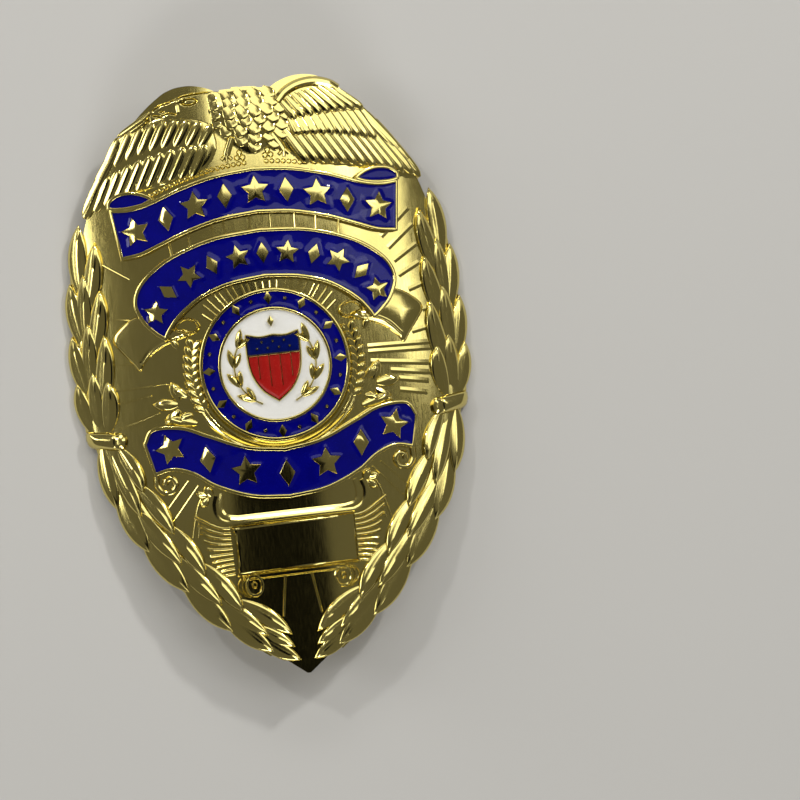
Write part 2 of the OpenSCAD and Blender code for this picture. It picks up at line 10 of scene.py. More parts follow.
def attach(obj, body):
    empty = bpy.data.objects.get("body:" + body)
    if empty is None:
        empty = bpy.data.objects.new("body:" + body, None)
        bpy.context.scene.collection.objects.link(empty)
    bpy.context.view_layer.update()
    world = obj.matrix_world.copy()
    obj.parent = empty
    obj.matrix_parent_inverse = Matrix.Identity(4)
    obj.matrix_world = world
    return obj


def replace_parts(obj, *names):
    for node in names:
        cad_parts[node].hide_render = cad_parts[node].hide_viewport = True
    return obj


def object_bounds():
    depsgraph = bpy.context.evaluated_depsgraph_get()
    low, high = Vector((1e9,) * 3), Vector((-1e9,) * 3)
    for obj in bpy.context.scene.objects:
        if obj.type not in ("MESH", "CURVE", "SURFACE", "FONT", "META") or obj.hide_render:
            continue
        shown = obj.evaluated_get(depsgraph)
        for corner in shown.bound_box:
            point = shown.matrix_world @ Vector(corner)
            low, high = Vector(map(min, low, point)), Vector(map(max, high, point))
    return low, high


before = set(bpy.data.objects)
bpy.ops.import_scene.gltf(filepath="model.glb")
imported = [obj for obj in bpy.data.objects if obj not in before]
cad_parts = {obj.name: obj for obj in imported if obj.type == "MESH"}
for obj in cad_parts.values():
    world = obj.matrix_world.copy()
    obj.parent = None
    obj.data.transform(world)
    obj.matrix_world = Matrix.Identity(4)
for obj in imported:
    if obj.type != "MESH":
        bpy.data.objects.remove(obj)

CAD_BOX = [list(corner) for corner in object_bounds()]
MM = 0.001

# The drawing, in millimetres: x to the right, y up, zero at the seal's centre. Its size and the
# curve of the face are those of the solids, so the finished badge fills the CAD box.
DRAWN_W, DRAWN_H, MID_Y = 54.66, 79.45, -1.475
# How far the face drops to its sides and ends, the wall's thickness, and how far from the middle
# the wall's back meets the surface that it lies on
SIDE_DROP, END_DROP, METAL, REST_X = 8, 1.6, 1.1, 26
TO_W = (CAD_BOX[1][0] - CAD_BOX[0][0]) / MM / DRAWN_W
TO_H = (CAD_BOX[1][1] - CAD_BOX[0][1]) / MM / DRAWN_H
CROWN = SIDE_DROP * (2 * REST_X / DRAWN_W) ** 2 + METAL

# Heights over the face: floors of the trays, gold rims, enamel, the foot of a floor's plate; then
# the width of a rim, and the level that a pool of enamel starts from
FLOOR_H, RIM_H, ENAMEL_H, UNDER = 0.45, 0.95, 0.76, -0.3
RIM_W, POOL_H = 0.5, ENAMEL_H - 0.06

# The outline, right half: upper edge from the top centre, lower edge from the point
TOP_EDGE = [(0, 37.35), (1.6, 37.2), (3.1, 36.7), (4.6, 37.5), (6.4, 38.1), (8.2, 38.24),
            (9.9, 37.95), (11.6, 37.1), (14.4, 34.9), (18, 31), (21.4, 25.6), (23.6, 19.4), (25.3, 11),
            (25.9, 3)]
LOW_EDGE = [(0, -41.2), (2.2, -39.5), (5, -37.4), (8.2, -34.8), (11.4, -31.8), (14.6, -28.3),
            (18, -23.8), (21.2, -18.4), (23.7, -12.4), (25.2, -6), (25.9, -1)]

# The ribbons' edges, right half from the centre line outwards
UPPER_TOP = [(0, 26.4), (5, 25.95), (10, 24.8), (14.2, 23.4), (17, 22.9), (19.5, 23.1)]
UPPER_LOW = [(0, 20.2), (5, 19.75), (9.7, 18.6), (13.4, 17.3), (16, 16.4), (18.6, 16.1)]
MIDDLE_TOP = [(0, 18.2), (6.6, 17.6), (12.6, 15.7), (16.4, 13.1), (17.8, 10.4), (17, 7.7),
              (15.6, 6), (14.3, 4.9)]
MIDDLE_LOW = [(0, 11.6), (4.6, 11.1), (8.2, 10), (10.6, 8.6), (12.1, 7.4), (12.9, 6.5),
              (13.5, 5.7), (13.9, 5)]
LOWER_TOP = [(0, -11.1), (5, -10.3), (10, -8.2), (13.4, -6.75), (17.2, -6.55), (18.5, -8.3)]
LOWER_LOW = [(0, -17.8), (5, -17.2), (9.5, -15.4), (12.4, -13.4), (15, -12.5), (17.4, -12.9)]
# Each ribbon: edges, number of ornaments, share of its length that they span, their radius
RIBBONS = {"upper": (UPPER_TOP, UPPER_LOW, 9, 0.87, 2),
           "middle": (MIDDLE_TOP, MIDDLE_LOW, 11, 0.82, 1.7),
           "lower": (LOWER_TOP, LOWER_LOW, 7, 0.84, 2.1)}
# The upper ribbon's right end, folded: edges of the enamel that shows in it
FOLD_TOP = [(13.9, 23.75), (15.2, 24.5), (16.8, 24.9), (18.4, 24.75), (19.5, 24.1), (19.75, 23.3)]
FOLD_LOW = [(13.9, 23.6), (15.2, 23.15), (16.8, 22.95), (18.2, 22.95), (19.2, 23.1), (19.7, 23.25)]

# The seal: outer edge, inner edge of the blue ring; the crest in it, with the line under its
# upper part
SEAL_R, RING_R = 10.15, 7.7
CREST = [(0, 3.9), (1.8, 3.75), (3.5, 4.2), (3.55, 1.6), (3.2, -1), (2, -3.2), (0, -4.8)]
CHIEF_Y = 1.4
# The top edge of the crest's enamel: height in the middle, rise to its corners, half its width
DIP_Y, DIP_RISE, DIP_HALF = 3.78, 0.42, 3.5
# Leaves at the seal's sides: x, y, angle, length, width, height
SIDE_LEAVES = [(13.2, -3.3, 72, 2.7, 1.5, 0.7), (13.5, -3.8, 6, 3.3, 1.6, 0.65),
               (13.3, -4.6, -40, 2.7, 1.5, 0.65), (12.2, -2.9, 38, 2.3, 1.3, 0.75),
               (11.2, -6.6, 14, 4.4, 1.5, 0.75), (11.7, -5.3, -14, 2, 1.2, 0.7),
               (12.6, 3.6, 58, 1.5, 0.9, 0.5)]

# Laurel of the right side: the bands under the leaves, and the tie's outline
UPPER_STEM = [(24.2, -7), (24.6, -1), (24.7, 6), (24.2, 13), (23.9, 17.2)]
LOWER_STEM = [(23.2, -8), (21.6, -15.3), (18.3, -21.6), (14.2, -27.4), (9.6, -32.4), (3.8, -37)]
TIE = [(25.9, -5.9), (24, -6.15), (22.1, -6.6), (21.8, -7.7), (22.3, -8.8), (24, -8.5), (25.4, -8),
       (26, -7)]
# Laurel leaves of the right side: x and y of the base and of the tip, width, bend (outwards over
# 0), height
UPPER_LEAVES = [(25, -6, 26.5, 0.7, 2.1, 0.5, 0.6), (24.9, -1.6, 26.5, 7, 2.3, 0.5, 0.6),
                (24.7, 5, 26, 14, 2.4, 0.5, 0.6), (24.5, 12.4, 23.9, 21.7, 2.6, 0.5, 0.65),
                (23, -6.2, 22.5, 0.6, 2.5, -0.4, 0.8), (23.8, -3.6, 22.2, 6.7, 2.6, -0.4, 0.8),
                (24.1, 3.6, 22.1, 12.7, 2.6, -0.4, 0.8), (24.2, 9.4, 22.1, 19.1, 2.6, -0.4, 0.85),
                (24.2, -6.2, 24.3, 2, 2.2, 0, 0.7), (24.6, -1, 24.2, 8.6, 2.3, 0, 0.75),
                (24.7, 5.4, 24.1, 15, 2.3, 0, 0.75)]
LOWER_LEAVES = [(24.1, -8.2, 22.9, -16.8, 2.3, 0.5, 0.65), (22.5, -14.1, 19.3, -22.9, 2.8, 0.5, 0.65),
                (19.9, -19.9, 14.7, -28.7, 3, 0.5, 0.65), (15.3, -26.2, 9.5, -34.5, 3, 0.5, 0.65),
                (10.8, -31.2, 4.3, -37.8, 2.8, 0.5, 0.55), (6.5, -35.2, 0.9, -39.2, 2.2, 0.3, 0.45),
                (21.9, -8.6, 19.2, -15, 2.2, -0.6, 0.85), (20.2, -13.6, 15.8, -21, 2.4, -0.6, 0.85),
                (17, -19.4, 12.2, -26.9, 2.5, -0.6, 0.85), (13, -25.2, 7.8, -32.2, 2.6, -0.7, 0.85),
                (8.8, -30.6, 1.7, -35.7, 2.4, -0.7, 0.6), (22.9, -9.4, 19.9, -18.2, 2.3, 0, 0.8),
                (20.8, -17, 15.2, -25.1, 2.5, 0, 0.8), (16.4, -23.6, 10.5, -31, 2.5, 0, 0.8),
                (11.9, -29.3, 4.8, -35.6, 2.4, 0, 0.65), (6.4, -34.2, 1.5, -37.4, 1.8, 0, 0.5)]

# Wing feathers in rows: count, first and last root, their rise in the middle, first and last tip,
# their rise, width, height
LEFT_WING = [(3, (-12.6, 35.3), (-13.2, 34.1), 0, (-17.4, 32.7), (-17.6, 31.4), 0, 0.7, 0.35),
             (3, (-17.6, 31.2), (-19.2, 29), 0, (-21.2, 26.4), (-23.1, 22.9), 0, 1.3, 0.4),
             (11, (-5.9, 30.1), (-20.6, 26.9), 1, (-8.2, 26.1), (-23, 22.4), 0.9, 1.5, 0.34),
             (9, (-4.7, 32.7), (-17.2, 32.5), 1.3, (-6.7, 29.9), (-19.8, 28), 1.2, 1.4, 0.46)]
RIGHT_WING = [(3, (15.4, 33.2), (17.4, 31.2), 0, (20.6, 26.6), (22.9, 23.2), 0, 1.4, 0.5),
              (12, (4.8, 30.9), (17.6, 30), 0.6, (7.6, 26.2), (21.9, 23.6), 0.4, 1.35, 0.6),
              (10, (5.8, 32.7), (14.8, 33.1), 0.3, (6.8, 30), (17.2, 28.6), 0.3, 1.35, 0.75),
              (9, (4.8, 34.9), (11.8, 36.2), 0.5, (6.6, 32.2), (16, 32.8), 0.2, 1.3, 0.85)]
# Small feathers of the breast: height, leftmost, rightmost, count
BREAST = [(36.2, -4.2, 2.8, 5), (35.1, -5, 4, 6), (34, -4.8, 4.8, 7), (32.9, -4, 4.8, 6),
          (31.7, -3, 4.1, 5), (30.5, -2.1, 3.1, 4), (29.4, -0.9, 1.6, 2)]

# Rays over the field, thin and broad ones: start and end
THIN_RAYS = [((-18, 13.5), (-21.5, 16)), ((-18.3, 8), (-21.5, 8.7)), ((-18.6, 2.2), (-21.5, 2.5)),
             ((-14.4, -1), (-21.7, -1)), ((-16.8, -2.2), (-21.5, -2.8)), ((-16, -4.6), (-21.5, -6.1)),
             ((-12, -14.8), (-15.8, -19.2)), ((-13.2, -14), (-17, -18.2)),
             ((11.6, -14.8), (15.4, -19)), ((12.8, -14.2), (16.6, -18))]
BROAD_RAYS = [((16.4, 15.6), (20.6, 19.2)), ((17.2, 14), (21, 17)), ((17.8, 12.2), (21.2, 14.3)),
              ((18.2, 10.2), (21.3, 11.8)), ((19.4, 8.2), (21.4, 8.9)), ((21, 5.4), (21.9, 5.6)),
              ((19.2, 2.6), (21.8, 3.1)), ((12.8, 1.1), (21.6, 1)), ((12.8, 0.4), (21.6, 0.2)),
              ((13, -0.9), (21.4, -1.8)), ((15.6, -2.3), (21.2, -3.1)), ((16.6, -3.5), (20.8, -4.2)),
              ((16.6, -5), (20.4, -5.7))]
# Short rays round the seal: angle and reach beyond it; places of the bars between the two upper
# ribbons
GAP_RAYS = [(40, 1.8), (45, 2.4), (49, 2.8), (54, 3), (57, 2.8), (62, 2.4), (66, 2), (72, 1.5),
            (76, 1.3), (82, 1.1), (87, 1)]
BETWEEN_RAYS = [-12, -9.4, -6.2, -4.6, -1.2, 1.6, 4.8, 7.6, 10.6]


def face_height(x, y):
    """Height of the plain curved face over the resting surface, in millimetres."""
    return CROWN - SIDE_DROP * (2 * x / DRAWN_W) ** 2 - END_DROP * (2 * y / DRAWN_H) ** 2


def finished(points):
    """Drawn points, with their height over the face, in metres on the finished badge."""
    p = np.asarray(points, float)
    z = np.maximum(face_height(p[:, 0], p[:, 1]) + p[:, 2], 0)
    return np.column_stack([p[:, 0] * TO_W, (p[:, 1] - MID_Y) * TO_H, z]) * MM


def through(points, steps=8):
    """A smooth curve through the points of a table, with so many steps between neighbours."""
    p = np.asarray(points, float)
    p = np.vstack([2 * p[0] - p[1], p, 2 * p[-1] - p[-2]])
    t = np.arange(steps)[:, None] / steps
    rows = []
    for i in range(1, len(p) - 2):
        a, b, c, d = p[i - 1:i + 3]
        rows.append(b + t * (c - a) / 2 + t**2 * (a - 2.5 * b + 2 * c - d / 2)
                    + t**3 * (1.5 * b - a / 2 - 1.5 * c + d / 2))
    return np.vstack(rows + [p[-2][None]])


def smooth_loop(points, steps):
    """A smooth closed line through the points of a table."""
    return through(points + points[:1], steps)[:-1]


def mirrored(points):
    """Drawn points on the other side of the centre line."""
    return np.asarray(points, float) * (-1, 1)


def whole(table, steps=8):
    """A smooth line over the whole width, from left to right, through a table of its right half."""
    half = through(table, steps)
    return np.vstack([mirrored(half[:0:-1]), half])


def lengths(path):
    """Distance of each point from the start of its path, along it."""
    return np.concatenate([[0], np.cumsum(np.linalg.norm(np.diff(path, axis=0), axis=1))])


def along(path, distances, run=None):
    """Points of a path at distances from its start, by its own run or by a given one."""
    run = lengths(path) if run is None else run
    return np.column_stack([np.interp(distances, run, path[:, k]) for k in (0, 1)])


def evenly(path, pitch):
    """The same path with points about a pitch apart."""
    path = np.asarray(path, float)
    length = lengths(path)[-1]
    return along(path, np.linspace(0, length, max(2, int(round(length / pitch)) + 1)))


def bar(start, stop, pitch=0.5):
    """A straight line with points about a pitch apart."""
    return evenly([start, stop], pitch)


def bearing(way):
    """Angle of a direction, in degrees."""
    return math.degrees(math.atan2(way[1], way[0]))


def polar(radius, degrees, x=0.0, y=0.0):
    """The point at a radius and an angle round another point."""
    turn = math.radians(degrees)
    return x + radius * math.cos(turn), y + radius * math.sin(turn)


def oval(centre, radii, turns):
    """Points of an oval line at turns in radians."""
    return np.column_stack([centre[0] + radii[0] * np.cos(turns), centre[1] + radii[1] * np.sin(turns)])


def arc(radius, start, stop, count, centre=(0, 0)):
    """Points of a round line between two angles in degrees."""
    return oval(centre, (radius, radius), np.radians(np.linspace(start, stop, count)))


def circle(radius, count=120):
    """Points of a closed round line round the seal's centre."""
    return arc(radius, 0, 360, count + 1)[:-1]


def ruled(low, top, share):
    """Grid of points from a lower to an upper line, at shares of the way between them."""
    share = share[..., None]
    return low[:, None] * (1 - share) + top[:, None] * share


def distance_to(points, path, closed=False):
    """Distance of each point to a drawn line."""
    p = np.asarray(path, float)
    q = np.roll(p, -1, 0) if closed else p[1:]
    best = np.full(len(points), 1e9)
    for a, b in zip(p, q):
        ab = b - a
        t = np.clip(((points - a) @ ab) / max(ab @ ab, 1e-9), 0, 1)
        best = np.minimum(best, np.linalg.norm(points - a - t[:, None] * ab, axis=1))
    return best


def inside(points, loop):
    """Whether each point lies within a closed outline."""
    result = np.zeros(len(points), bool)
    x, y = points[:, 0], points[:, 1]
    for (ax, ay), (bx, by) in zip(loop, np.roll(loop, -1, 0)):
        crosses = (ay > y) != (by > y)
        side = (bx - ax) * (y - ay) / (by - ay if by != ay else 1e-12) + ax
        result ^= crosses & (x < side)
    return result


def grid_faces(rows, columns, close_rows=False, close_columns=False, start=0):
    """Quads of a grid of points."""
    i = np.arange(rows if close_rows else rows - 1)
    j = np.arange(columns if close_columns else columns - 1)
    a, b = np.meshgrid(i, j, indexing="ij")
    c, d = (a + 1) % rows, (b + 1) % columns
    quads = np.stack([a * columns + b, a * columns + d, c * columns + d, c * columns + b], -1)
    return (quads.reshape(-1, 4) + start).tolist()


def loft(sections, closed=False):
    """Closed solid through closed sections, each a list of drawn points."""
    s = np.asarray(sections, float)
    n, m = s.shape[:2]
    faces = grid_faces(n, m, closed, True)
    if not closed:
        faces += [list(range(m))[::-1], list(range((n - 1) * m, n * m))]
    return s.reshape(-1, 3), faces


def block(top, bottom):
    """Closed solid between two grids of points of one size, one over the other."""
    n, m = top.shape[:2]
    points = np.vstack([top.reshape(-1, 3), bottom.reshape(-1, 3)])
    under = n * m
    faces = grid_faces(n, m) + [f[::-1] for f in grid_faces(n, m, start=under)]
    edge = ([(0, j) for j in range(m)] + [(i, m - 1) for i in range(1, n)]
            + [(n - 1, j) for j in range(m - 2, -1, -1)] + [(i, 0) for i in range(n - 2, 0, -1)])
    for (i, j), (k, l) in zip(edge, edge[1:] + edge[:1]):
        a, b = i * m + j, k * m + l
        faces.append([b, a, a + under, b + under])
    return points, faces


def raised(line, height):
    """A drawn line's points at one height."""
    return np.column_stack([line, np.full(len(line), height)])


def slab(grid, top, bottom):
    """Closed plate over a grid of drawn points, between two heights over the face."""
    shape = grid.shape[:2]
    return block(np.dstack([grid, np.full(shape, top)]), np.dstack([grid, np.full(shape, bottom)]))


def patch(low, high, step, height, sink=0.4):
    """Closed relief over the part of a rectangle where a function gives a height."""
    x = np.arange(low[0], high[0] + step / 2, step)
    y = np.arange(low[1], high[1] + step / 2, step)
    gx, gy = np.meshgrid(x, y, indexing="ij")
    n, m = gx.shape
    h = height(np.column_stack([gx.ravel(), gy.ravel()])).reshape(n, m)
    tall = h > 0
    cell = tall[:-1, :-1] | tall[1:, :-1] | tall[:-1, 1:] | tall[1:, 1:]
    top = np.dstack([gx, gy, np.maximum(h, -0.1)]).reshape(-1, 3)
    low_points = top * (1, 1, 0) - (0, 0, sink)
    faces, sides = [], {}
    for i, j in np.argwhere(cell):
        a = i * m + j
        quad = [a, a + m, a + m + 1, a + 1]
        faces += [quad, [k + n * m for k in quad[::-1]]]
        for b, c in zip(quad, quad[1:] + quad[:1]):
            if sides.pop((c, b), None) is None:
                sides[(b, c)] = True
    faces += [[c, b, b + n * m, c + n * m] for b, c in sides]
    used = sorted({k for face in faces for k in face})
    place = {k: i for i, k in enumerate(used)}
    points = np.vstack([top, low_points])[used]
    return points, [[place[k] for k in face] for face in faces]


def joined(*solids):
    """Several solids as one list of points and faces."""
    points, faces = [], []
    for p, f in solids:
        start = sum(len(q) for q in points)
        points.append(np.asarray(p, float))
        faces += [[k + start for k in face] for face in f]
    return np.vstack(points), faces


def turned_over(solid):
    """The same solid on the other side of the centre line."""
    points, faces = solid
    return np.asarray(points, float) * (-1, 1, 1), [f[::-1] for f in faces]


def both(solid):
    """A solid of the right side, and the same on the left."""
    return joined(solid, turned_over(solid))


def new_mesh(name, points, faces):
    """A mesh from points and faces."""
    mesh = bpy.data.meshes.new(name)
    mesh.from_pydata([tuple(p) for p in points], [], faces)
    mesh.validate()
    return mesh


def in_scene(name, data):
    """A new object in the scene."""
    obj = bpy.data.objects.new(name, data)
    bpy.context.scene.collection.objects.link(obj)
    return obj


def piece(name, mesh, material, slot="gold_plate", sharp=35):
    """A finished piece: normals outwards, smooth but for edges over so many degrees."""
    bm = bmesh.new()
    bm.from_mesh(mesh)
    bmesh.ops.remove_doubles(bm, verts=bm.verts, dist=1e-7)
    bmesh.ops.recalc_face_normals(bm, faces=bm.faces)
    for edge in bm.edges:
        edge.smooth = len(edge.link_faces) == 2 and edge.calc_face_angle(0) < math.radians(sharp)
    for face in bm.faces:
        face.smooth = True
    bm.to_mesh(mesh)
    bm.free()
    mesh.materials.clear()
    mesh.materials.append(material)
    obj = in_scene(name, mesh)
    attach(obj, "root")
    return obj


def drawn_piece(name, solid, material, **keys):
    """A piece from a solid given in drawn points."""
    points, faces = solid
    return piece(name, new_mesh(name, finished(points), faces), material, **keys)


# Materials

def add(tree, kind, inputs=None, **settings):
    """Adds a node with its settings, and its inputs set or linked."""
    made = tree.nodes.new(kind)
    for key, value in settings.items():
        setattr(made, key, value)
    for key, value in (inputs or {}).items():
        if isinstance(value, bpy.types.NodeSocket):
            tree.links.new(value, made.inputs[key])
        else:
            made.inputs[key].default_value = value
    return made


def linear(hex_colour):
    """sRGB hex to linear RGBA."""
    rgb = [int(hex_colour[i:i + 2], 16) / 255 for i in (1, 3, 5)]
    return [c / 12.92 if c <= 0.04045 else ((c + 0.055) / 1.055) ** 2.4 for c in rgb] + [1]


def new_material(name):
    """An empty material with its node tree."""
    material = bpy.data.materials.new(name)
    material.use_nodes = True
    material.node_tree.nodes.clear()
    return material, material.node_tree


def polished_gold(name, bright, deep, rough):
    """Gold plate over struck or drawn brass, polished: a warm mirror. It gives crisp highlights on
    every edge, with a faint orange peel about 0.8 mm wide and polishing hairlines about 0.12 mm
    apart, drawn coarser than the real ones so that they show."""
    material, tree = new_material(name)
    at = add(tree, "ShaderNodeTexCoord").outputs["Object"]
    peel = add(tree, "ShaderNodeTexNoise", {"Vector": at, "Scale": 1 / (0.8 * MM), "Detail": 2.0})
    stretched = add(tree, "ShaderNodeMapping", {"Vector": at, "Scale": (1.0, 0.06, 1.0)})
    hairs = add(tree, "ShaderNodeTexNoise", {"Vector": stretched.outputs["Vector"],
                "Scale": 1 / (0.12 * MM), "Detail": 1.0})
    cloud = add(tree, "ShaderNodeTexNoise", {"Vector": at, "Scale": 1 / (9 * MM), "Detail": 3.0})
    tone = add(tree, "ShaderNodeMix", {"Factor": cloud.outputs["Fac"], 6: linear(deep), 7: linear(bright)},
               data_type="RGBA")
    sheen = add(tree, "ShaderNodeMapRange", {"Value": hairs.outputs["Fac"], "From Min": 0.3,
                "From Max": 0.7, "To Min": rough * 0.75, "To Max": rough * 1.3})
    low = add(tree, "ShaderNodeBump", {"Height": peel.outputs["Fac"], "Strength": 0.1,
              "Distance": 0.02 * MM})
    fine = add(tree, "ShaderNodeBump", {"Height": hairs.outputs["Fac"], "Strength": 0.04,
               "Distance": 0.01 * MM, "Normal": low.outputs["Normal"]})
    shader = add(tree, "ShaderNodeBsdfPrincipled", {"Base Color": tone.outputs[2], "Metallic": 1.0,
                 "Roughness": sheen.outputs["Result"], "Normal": fine.outputs["Normal"]})
    add(tree, "ShaderNodeOutputMaterial", {"Surface": shader.outputs["BSDF"]})
    return material


def fired_enamel(name, bright, deep, speck):
    """Fired glass enamel, ground flush and flamed: a glossy pool with a clear skin. Its colour
    clouds a little, as in glass of uneven thickness, and it holds fine specks about 0.15 mm wide.
    Its skin mirrors only bright lamps, so the colour stays deep."""
    material, tree = new_material(name)
    at = add(tree, "ShaderNodeTexCoord").outputs["Object"]
    cloud = add(tree, "ShaderNodeTexNoise", {"Vector": at, "Scale": 1 / (2.5 * MM), "Detail": 2.0})
    specks = add(tree, "ShaderNodeTexNoise", {"Vector": at, "Scale": 1 / (0.15 * MM), "Detail": 1.0})
    tone = add(tree, "ShaderNodeMix", {"Factor": cloud.outputs["Fac"], 6: linear(deep), 7: linear(bright)},
               data_type="RGBA")
    share = add(tree, "ShaderNodeMapRange", {"Value": specks.outputs["Fac"], "From Min": 0.62,
                "From Max": 0.75, "To Min": 0.0, "To Max": 0.35})
    flecked = add(tree, "ShaderNodeMix", {"Factor": share.outputs["Result"], 6: tone.outputs[2],
                  7: linear(speck)}, data_type="RGBA")
    ripple = add(tree, "ShaderNodeTexNoise", {"Vector": at, "Scale": 1 / (3 * MM), "Detail": 1.0})
    skin = add(tree, "ShaderNodeBump", {"Height": ripple.outputs["Fac"], "Strength": 0.12,
               "Distance": 0.05 * MM})
    shader = add(tree, "ShaderNodeBsdfPrincipled", {"Base Color": flecked.outputs[2],
                 "Roughness": 0.05, "IOR": 1.52, "Specular IOR Level": 0.22,
                 "Normal": skin.outputs["Normal"]})
    add(tree, "ShaderNodeOutputMaterial", {"Surface": shader.outputs["BSDF"]})
    return material


GOLD = polished_gold("gold_plated_struck_brass", "#E2D384", "#D4C374", 0.13)
PIN_GOLD = polished_gold("gold_plated_drawn_wire", "#E2BE5C", "#D2A94A", 0.2)
BLUE = fired_enamel("royal_blue_enamel", "#06067C", "#04045C", "#1219A6")
WHITE = fired_enamel("white_enamel", "#F4F3EE", "#E6E4DC", "#FFFFFF")
RED = fired_enamel("red_enamel", "#B3211C", "#8E1614", "#D8483C")
NAVY = fired_enamel("dark_blue_enamel", "#0A1766", "#060D44", "#1E2F96")


# Geometry node trees

def new_tree(name, sockets):
    """An empty tree with its named inputs and the geometry that goes in and out."""
    tree = bpy.data.node_groups.new(name, "GeometryNodeTree")
    tree.interface.new_socket("Geometry", in_out="OUTPUT", socket_type="NodeSocketGeometry")
    for title, kind in {"Geometry": "Geometry", **sockets}.items():
        tree.interface.new_socket(title, in_out="INPUT", socket_type="NodeSocket" + kind)
    return tree, add(tree, "NodeGroupInput").outputs


def end_tree(tree, geometry, material):
    """Every tree ends in plain geometry with its material."""
    real = add(tree, "GeometryNodeRealizeInstances", {"Geometry": geometry})
    dressed = add(tree, "GeometryNodeSetMaterial", {"Geometry": real.outputs[0], "Material": material})
    add(tree, "NodeGroupOutput", {"Geometry": dressed.outputs[0]})


def repeat_tree():
    """One shape set on each point, turned by the point's turn and scaled by its size."""
    tree, given = new_tree("repeat_on_points", {"Shape": "Object", "Height": "Float",
                                                "Material": "Material"})
    shape = add(tree, "GeometryNodeObjectInfo", {"Object": given["Shape"]})
    turn = add(tree, "GeometryNodeInputNamedAttribute", {"Name": "turn"}, data_type="FLOAT")
    size = add(tree, "GeometryNodeInputNamedAttribute", {"Name": "size"}, data_type="FLOAT_VECTOR")
    angle = add(tree, "ShaderNodeCombineXYZ", {"Z": turn.outputs[0]})
    tall = add(tree, "ShaderNodeCombineXYZ", {"X": 1.0, "Y": 1.0, "Z": given["Height"]})
    scale = add(tree, "ShaderNodeVectorMath", {0: size.outputs[0], 1: tall.outputs[0]},
                operation="MULTIPLY")
    placed = add(tree, "GeometryNodeInstanceOnPoints", {"Points": given["Geometry"],
                 "Instance": shape.outputs["Geometry"], "Rotation": angle.outputs[0],
                 "Scale": scale.outputs[0]})
    end_tree(tree, placed.outputs[0], given["Material"])
    return tree


def sweep_tree():
    """A bead of metal along each line, as wide as the line's taper says. Its section is round, or
    a rectangle with rounded corners where Round is over 0."""
    tree, given = new_tree("sweep_along_lines", {"Width": "Float", "Height": "Float", "Round": "Float",
                                                 "Sides": "Int", "Material": "Material"})
    line = add(tree, "GeometryNodeMeshToCurve", {"Mesh": given["Geometry"]})
    upright = add(tree, "GeometryNodeSetCurveNormal", {"Curve": line.outputs[0]}, mode="Z_UP")
    taper = add(tree, "GeometryNodeInputNamedAttribute", {"Name": "taper"}, data_type="FLOAT")
    sized = add(tree, "GeometryNodeSetCurveRadius", {"Curve": upright.outputs[0],
                "Radius": taper.outputs[0]})
    ring = add(tree, "GeometryNodeCurvePrimitiveCircle", {"Resolution": given["Sides"], "Radius": 0.5})
    spread = add(tree, "ShaderNodeCombineXYZ", {"X": given["Width"], "Y": given["Height"], "Z": 1.0})
    oval = add(tree, "GeometryNodeTransform", {"Geometry": ring.outputs[0], "Scale": spread.outputs[0]})
    box = add(tree, "GeometryNodeCurvePrimitiveQuadrilateral", {"Width": given["Width"],
              "Height": given["Height"]}, mode="RECTANGLE")
    eased = add(tree, "GeometryNodeFilletCurve", {"Curve": box.outputs[0], "Radius": given["Round"],
                "Count": 3}, mode="POLY")
    squared = add(tree, "FunctionNodeCompare", {"A": given["Round"], "B": 0.0}, operation="GREATER_THAN")
    section = add(tree, "GeometryNodeSwitch", {"Switch": squared.outputs[0], "False": oval.outputs[0],
                  "True": eased.outputs[0]}, input_type="GEOMETRY")
    bead = add(tree, "GeometryNodeCurveToMesh", {"Curve": sized.outputs[0],
               "Profile Curve": section.outputs[0], "Fill Caps": True})
    end_tree(tree, bead.outputs[0], given["Material"])
    return tree


REPEAT, SWEEP = repeat_tree(), sweep_tree()


def grown(source, tree, values):
    """The plain mesh that a tree makes from a source mesh, in drawn millimetres."""
    obj = in_scene("source", source)
    modifier = obj.modifiers.new("tree", "NODES")
    modifier.node_group = tree
    for item in tree.interface.items_tree:
        if item.in_out == "INPUT" and item.name in values:
            modifier[item.identifier] = values[item.name]
    bpy.context.view_layer.update()
    depsgraph = bpy.context.evaluated_depsgraph_get()
    mesh = bpy.data.meshes.new_from_object(obj.evaluated_get(depsgraph), depsgraph=depsgraph)
    obj.modifiers.remove(modifier)
    bpy.data.objects.remove(obj)
    return mesh


def as_solid(mesh):
    """Points and faces of a mesh."""
    points = np.zeros(len(mesh.vertices) * 3)
    mesh.vertices.foreach_get("co", points)
    return points.reshape(-1, 3), [list(p.vertices) for p in mesh.polygons]


def repeated(rows, shape, height=1.0, lift=0.0):
    """Solid of one shape on each row: x, y, angle in degrees, length, width, height. The lift is
    the height that they stand at, one for all or one for each."""
    rows = np.asarray(rows, float)
    lifts = np.broadcast_to(lift, len(rows))
    source = bpy.data.meshes.new("points")
    source.from_pydata([(r[0], r[1], z) for r, z in zip(rows, lifts)], [], [])
    turn = source.attributes.new("turn", "FLOAT", "POINT")
    turn.data.foreach_set("value", np.radians(rows[:, 2]))
    size = source.attributes.new("size", "FLOAT_VECTOR", "POINT")
    size.data.foreach_set("vector", rows[:, 3:6].ravel())
    unit = in_scene("unit", new_mesh("unit", *shape))
    mesh = grown(source, REPEAT, {"Shape": unit, "Height": height, "Material": GOLD})
    bpy.data.objects.remove(unit)
    return as_solid(mesh)


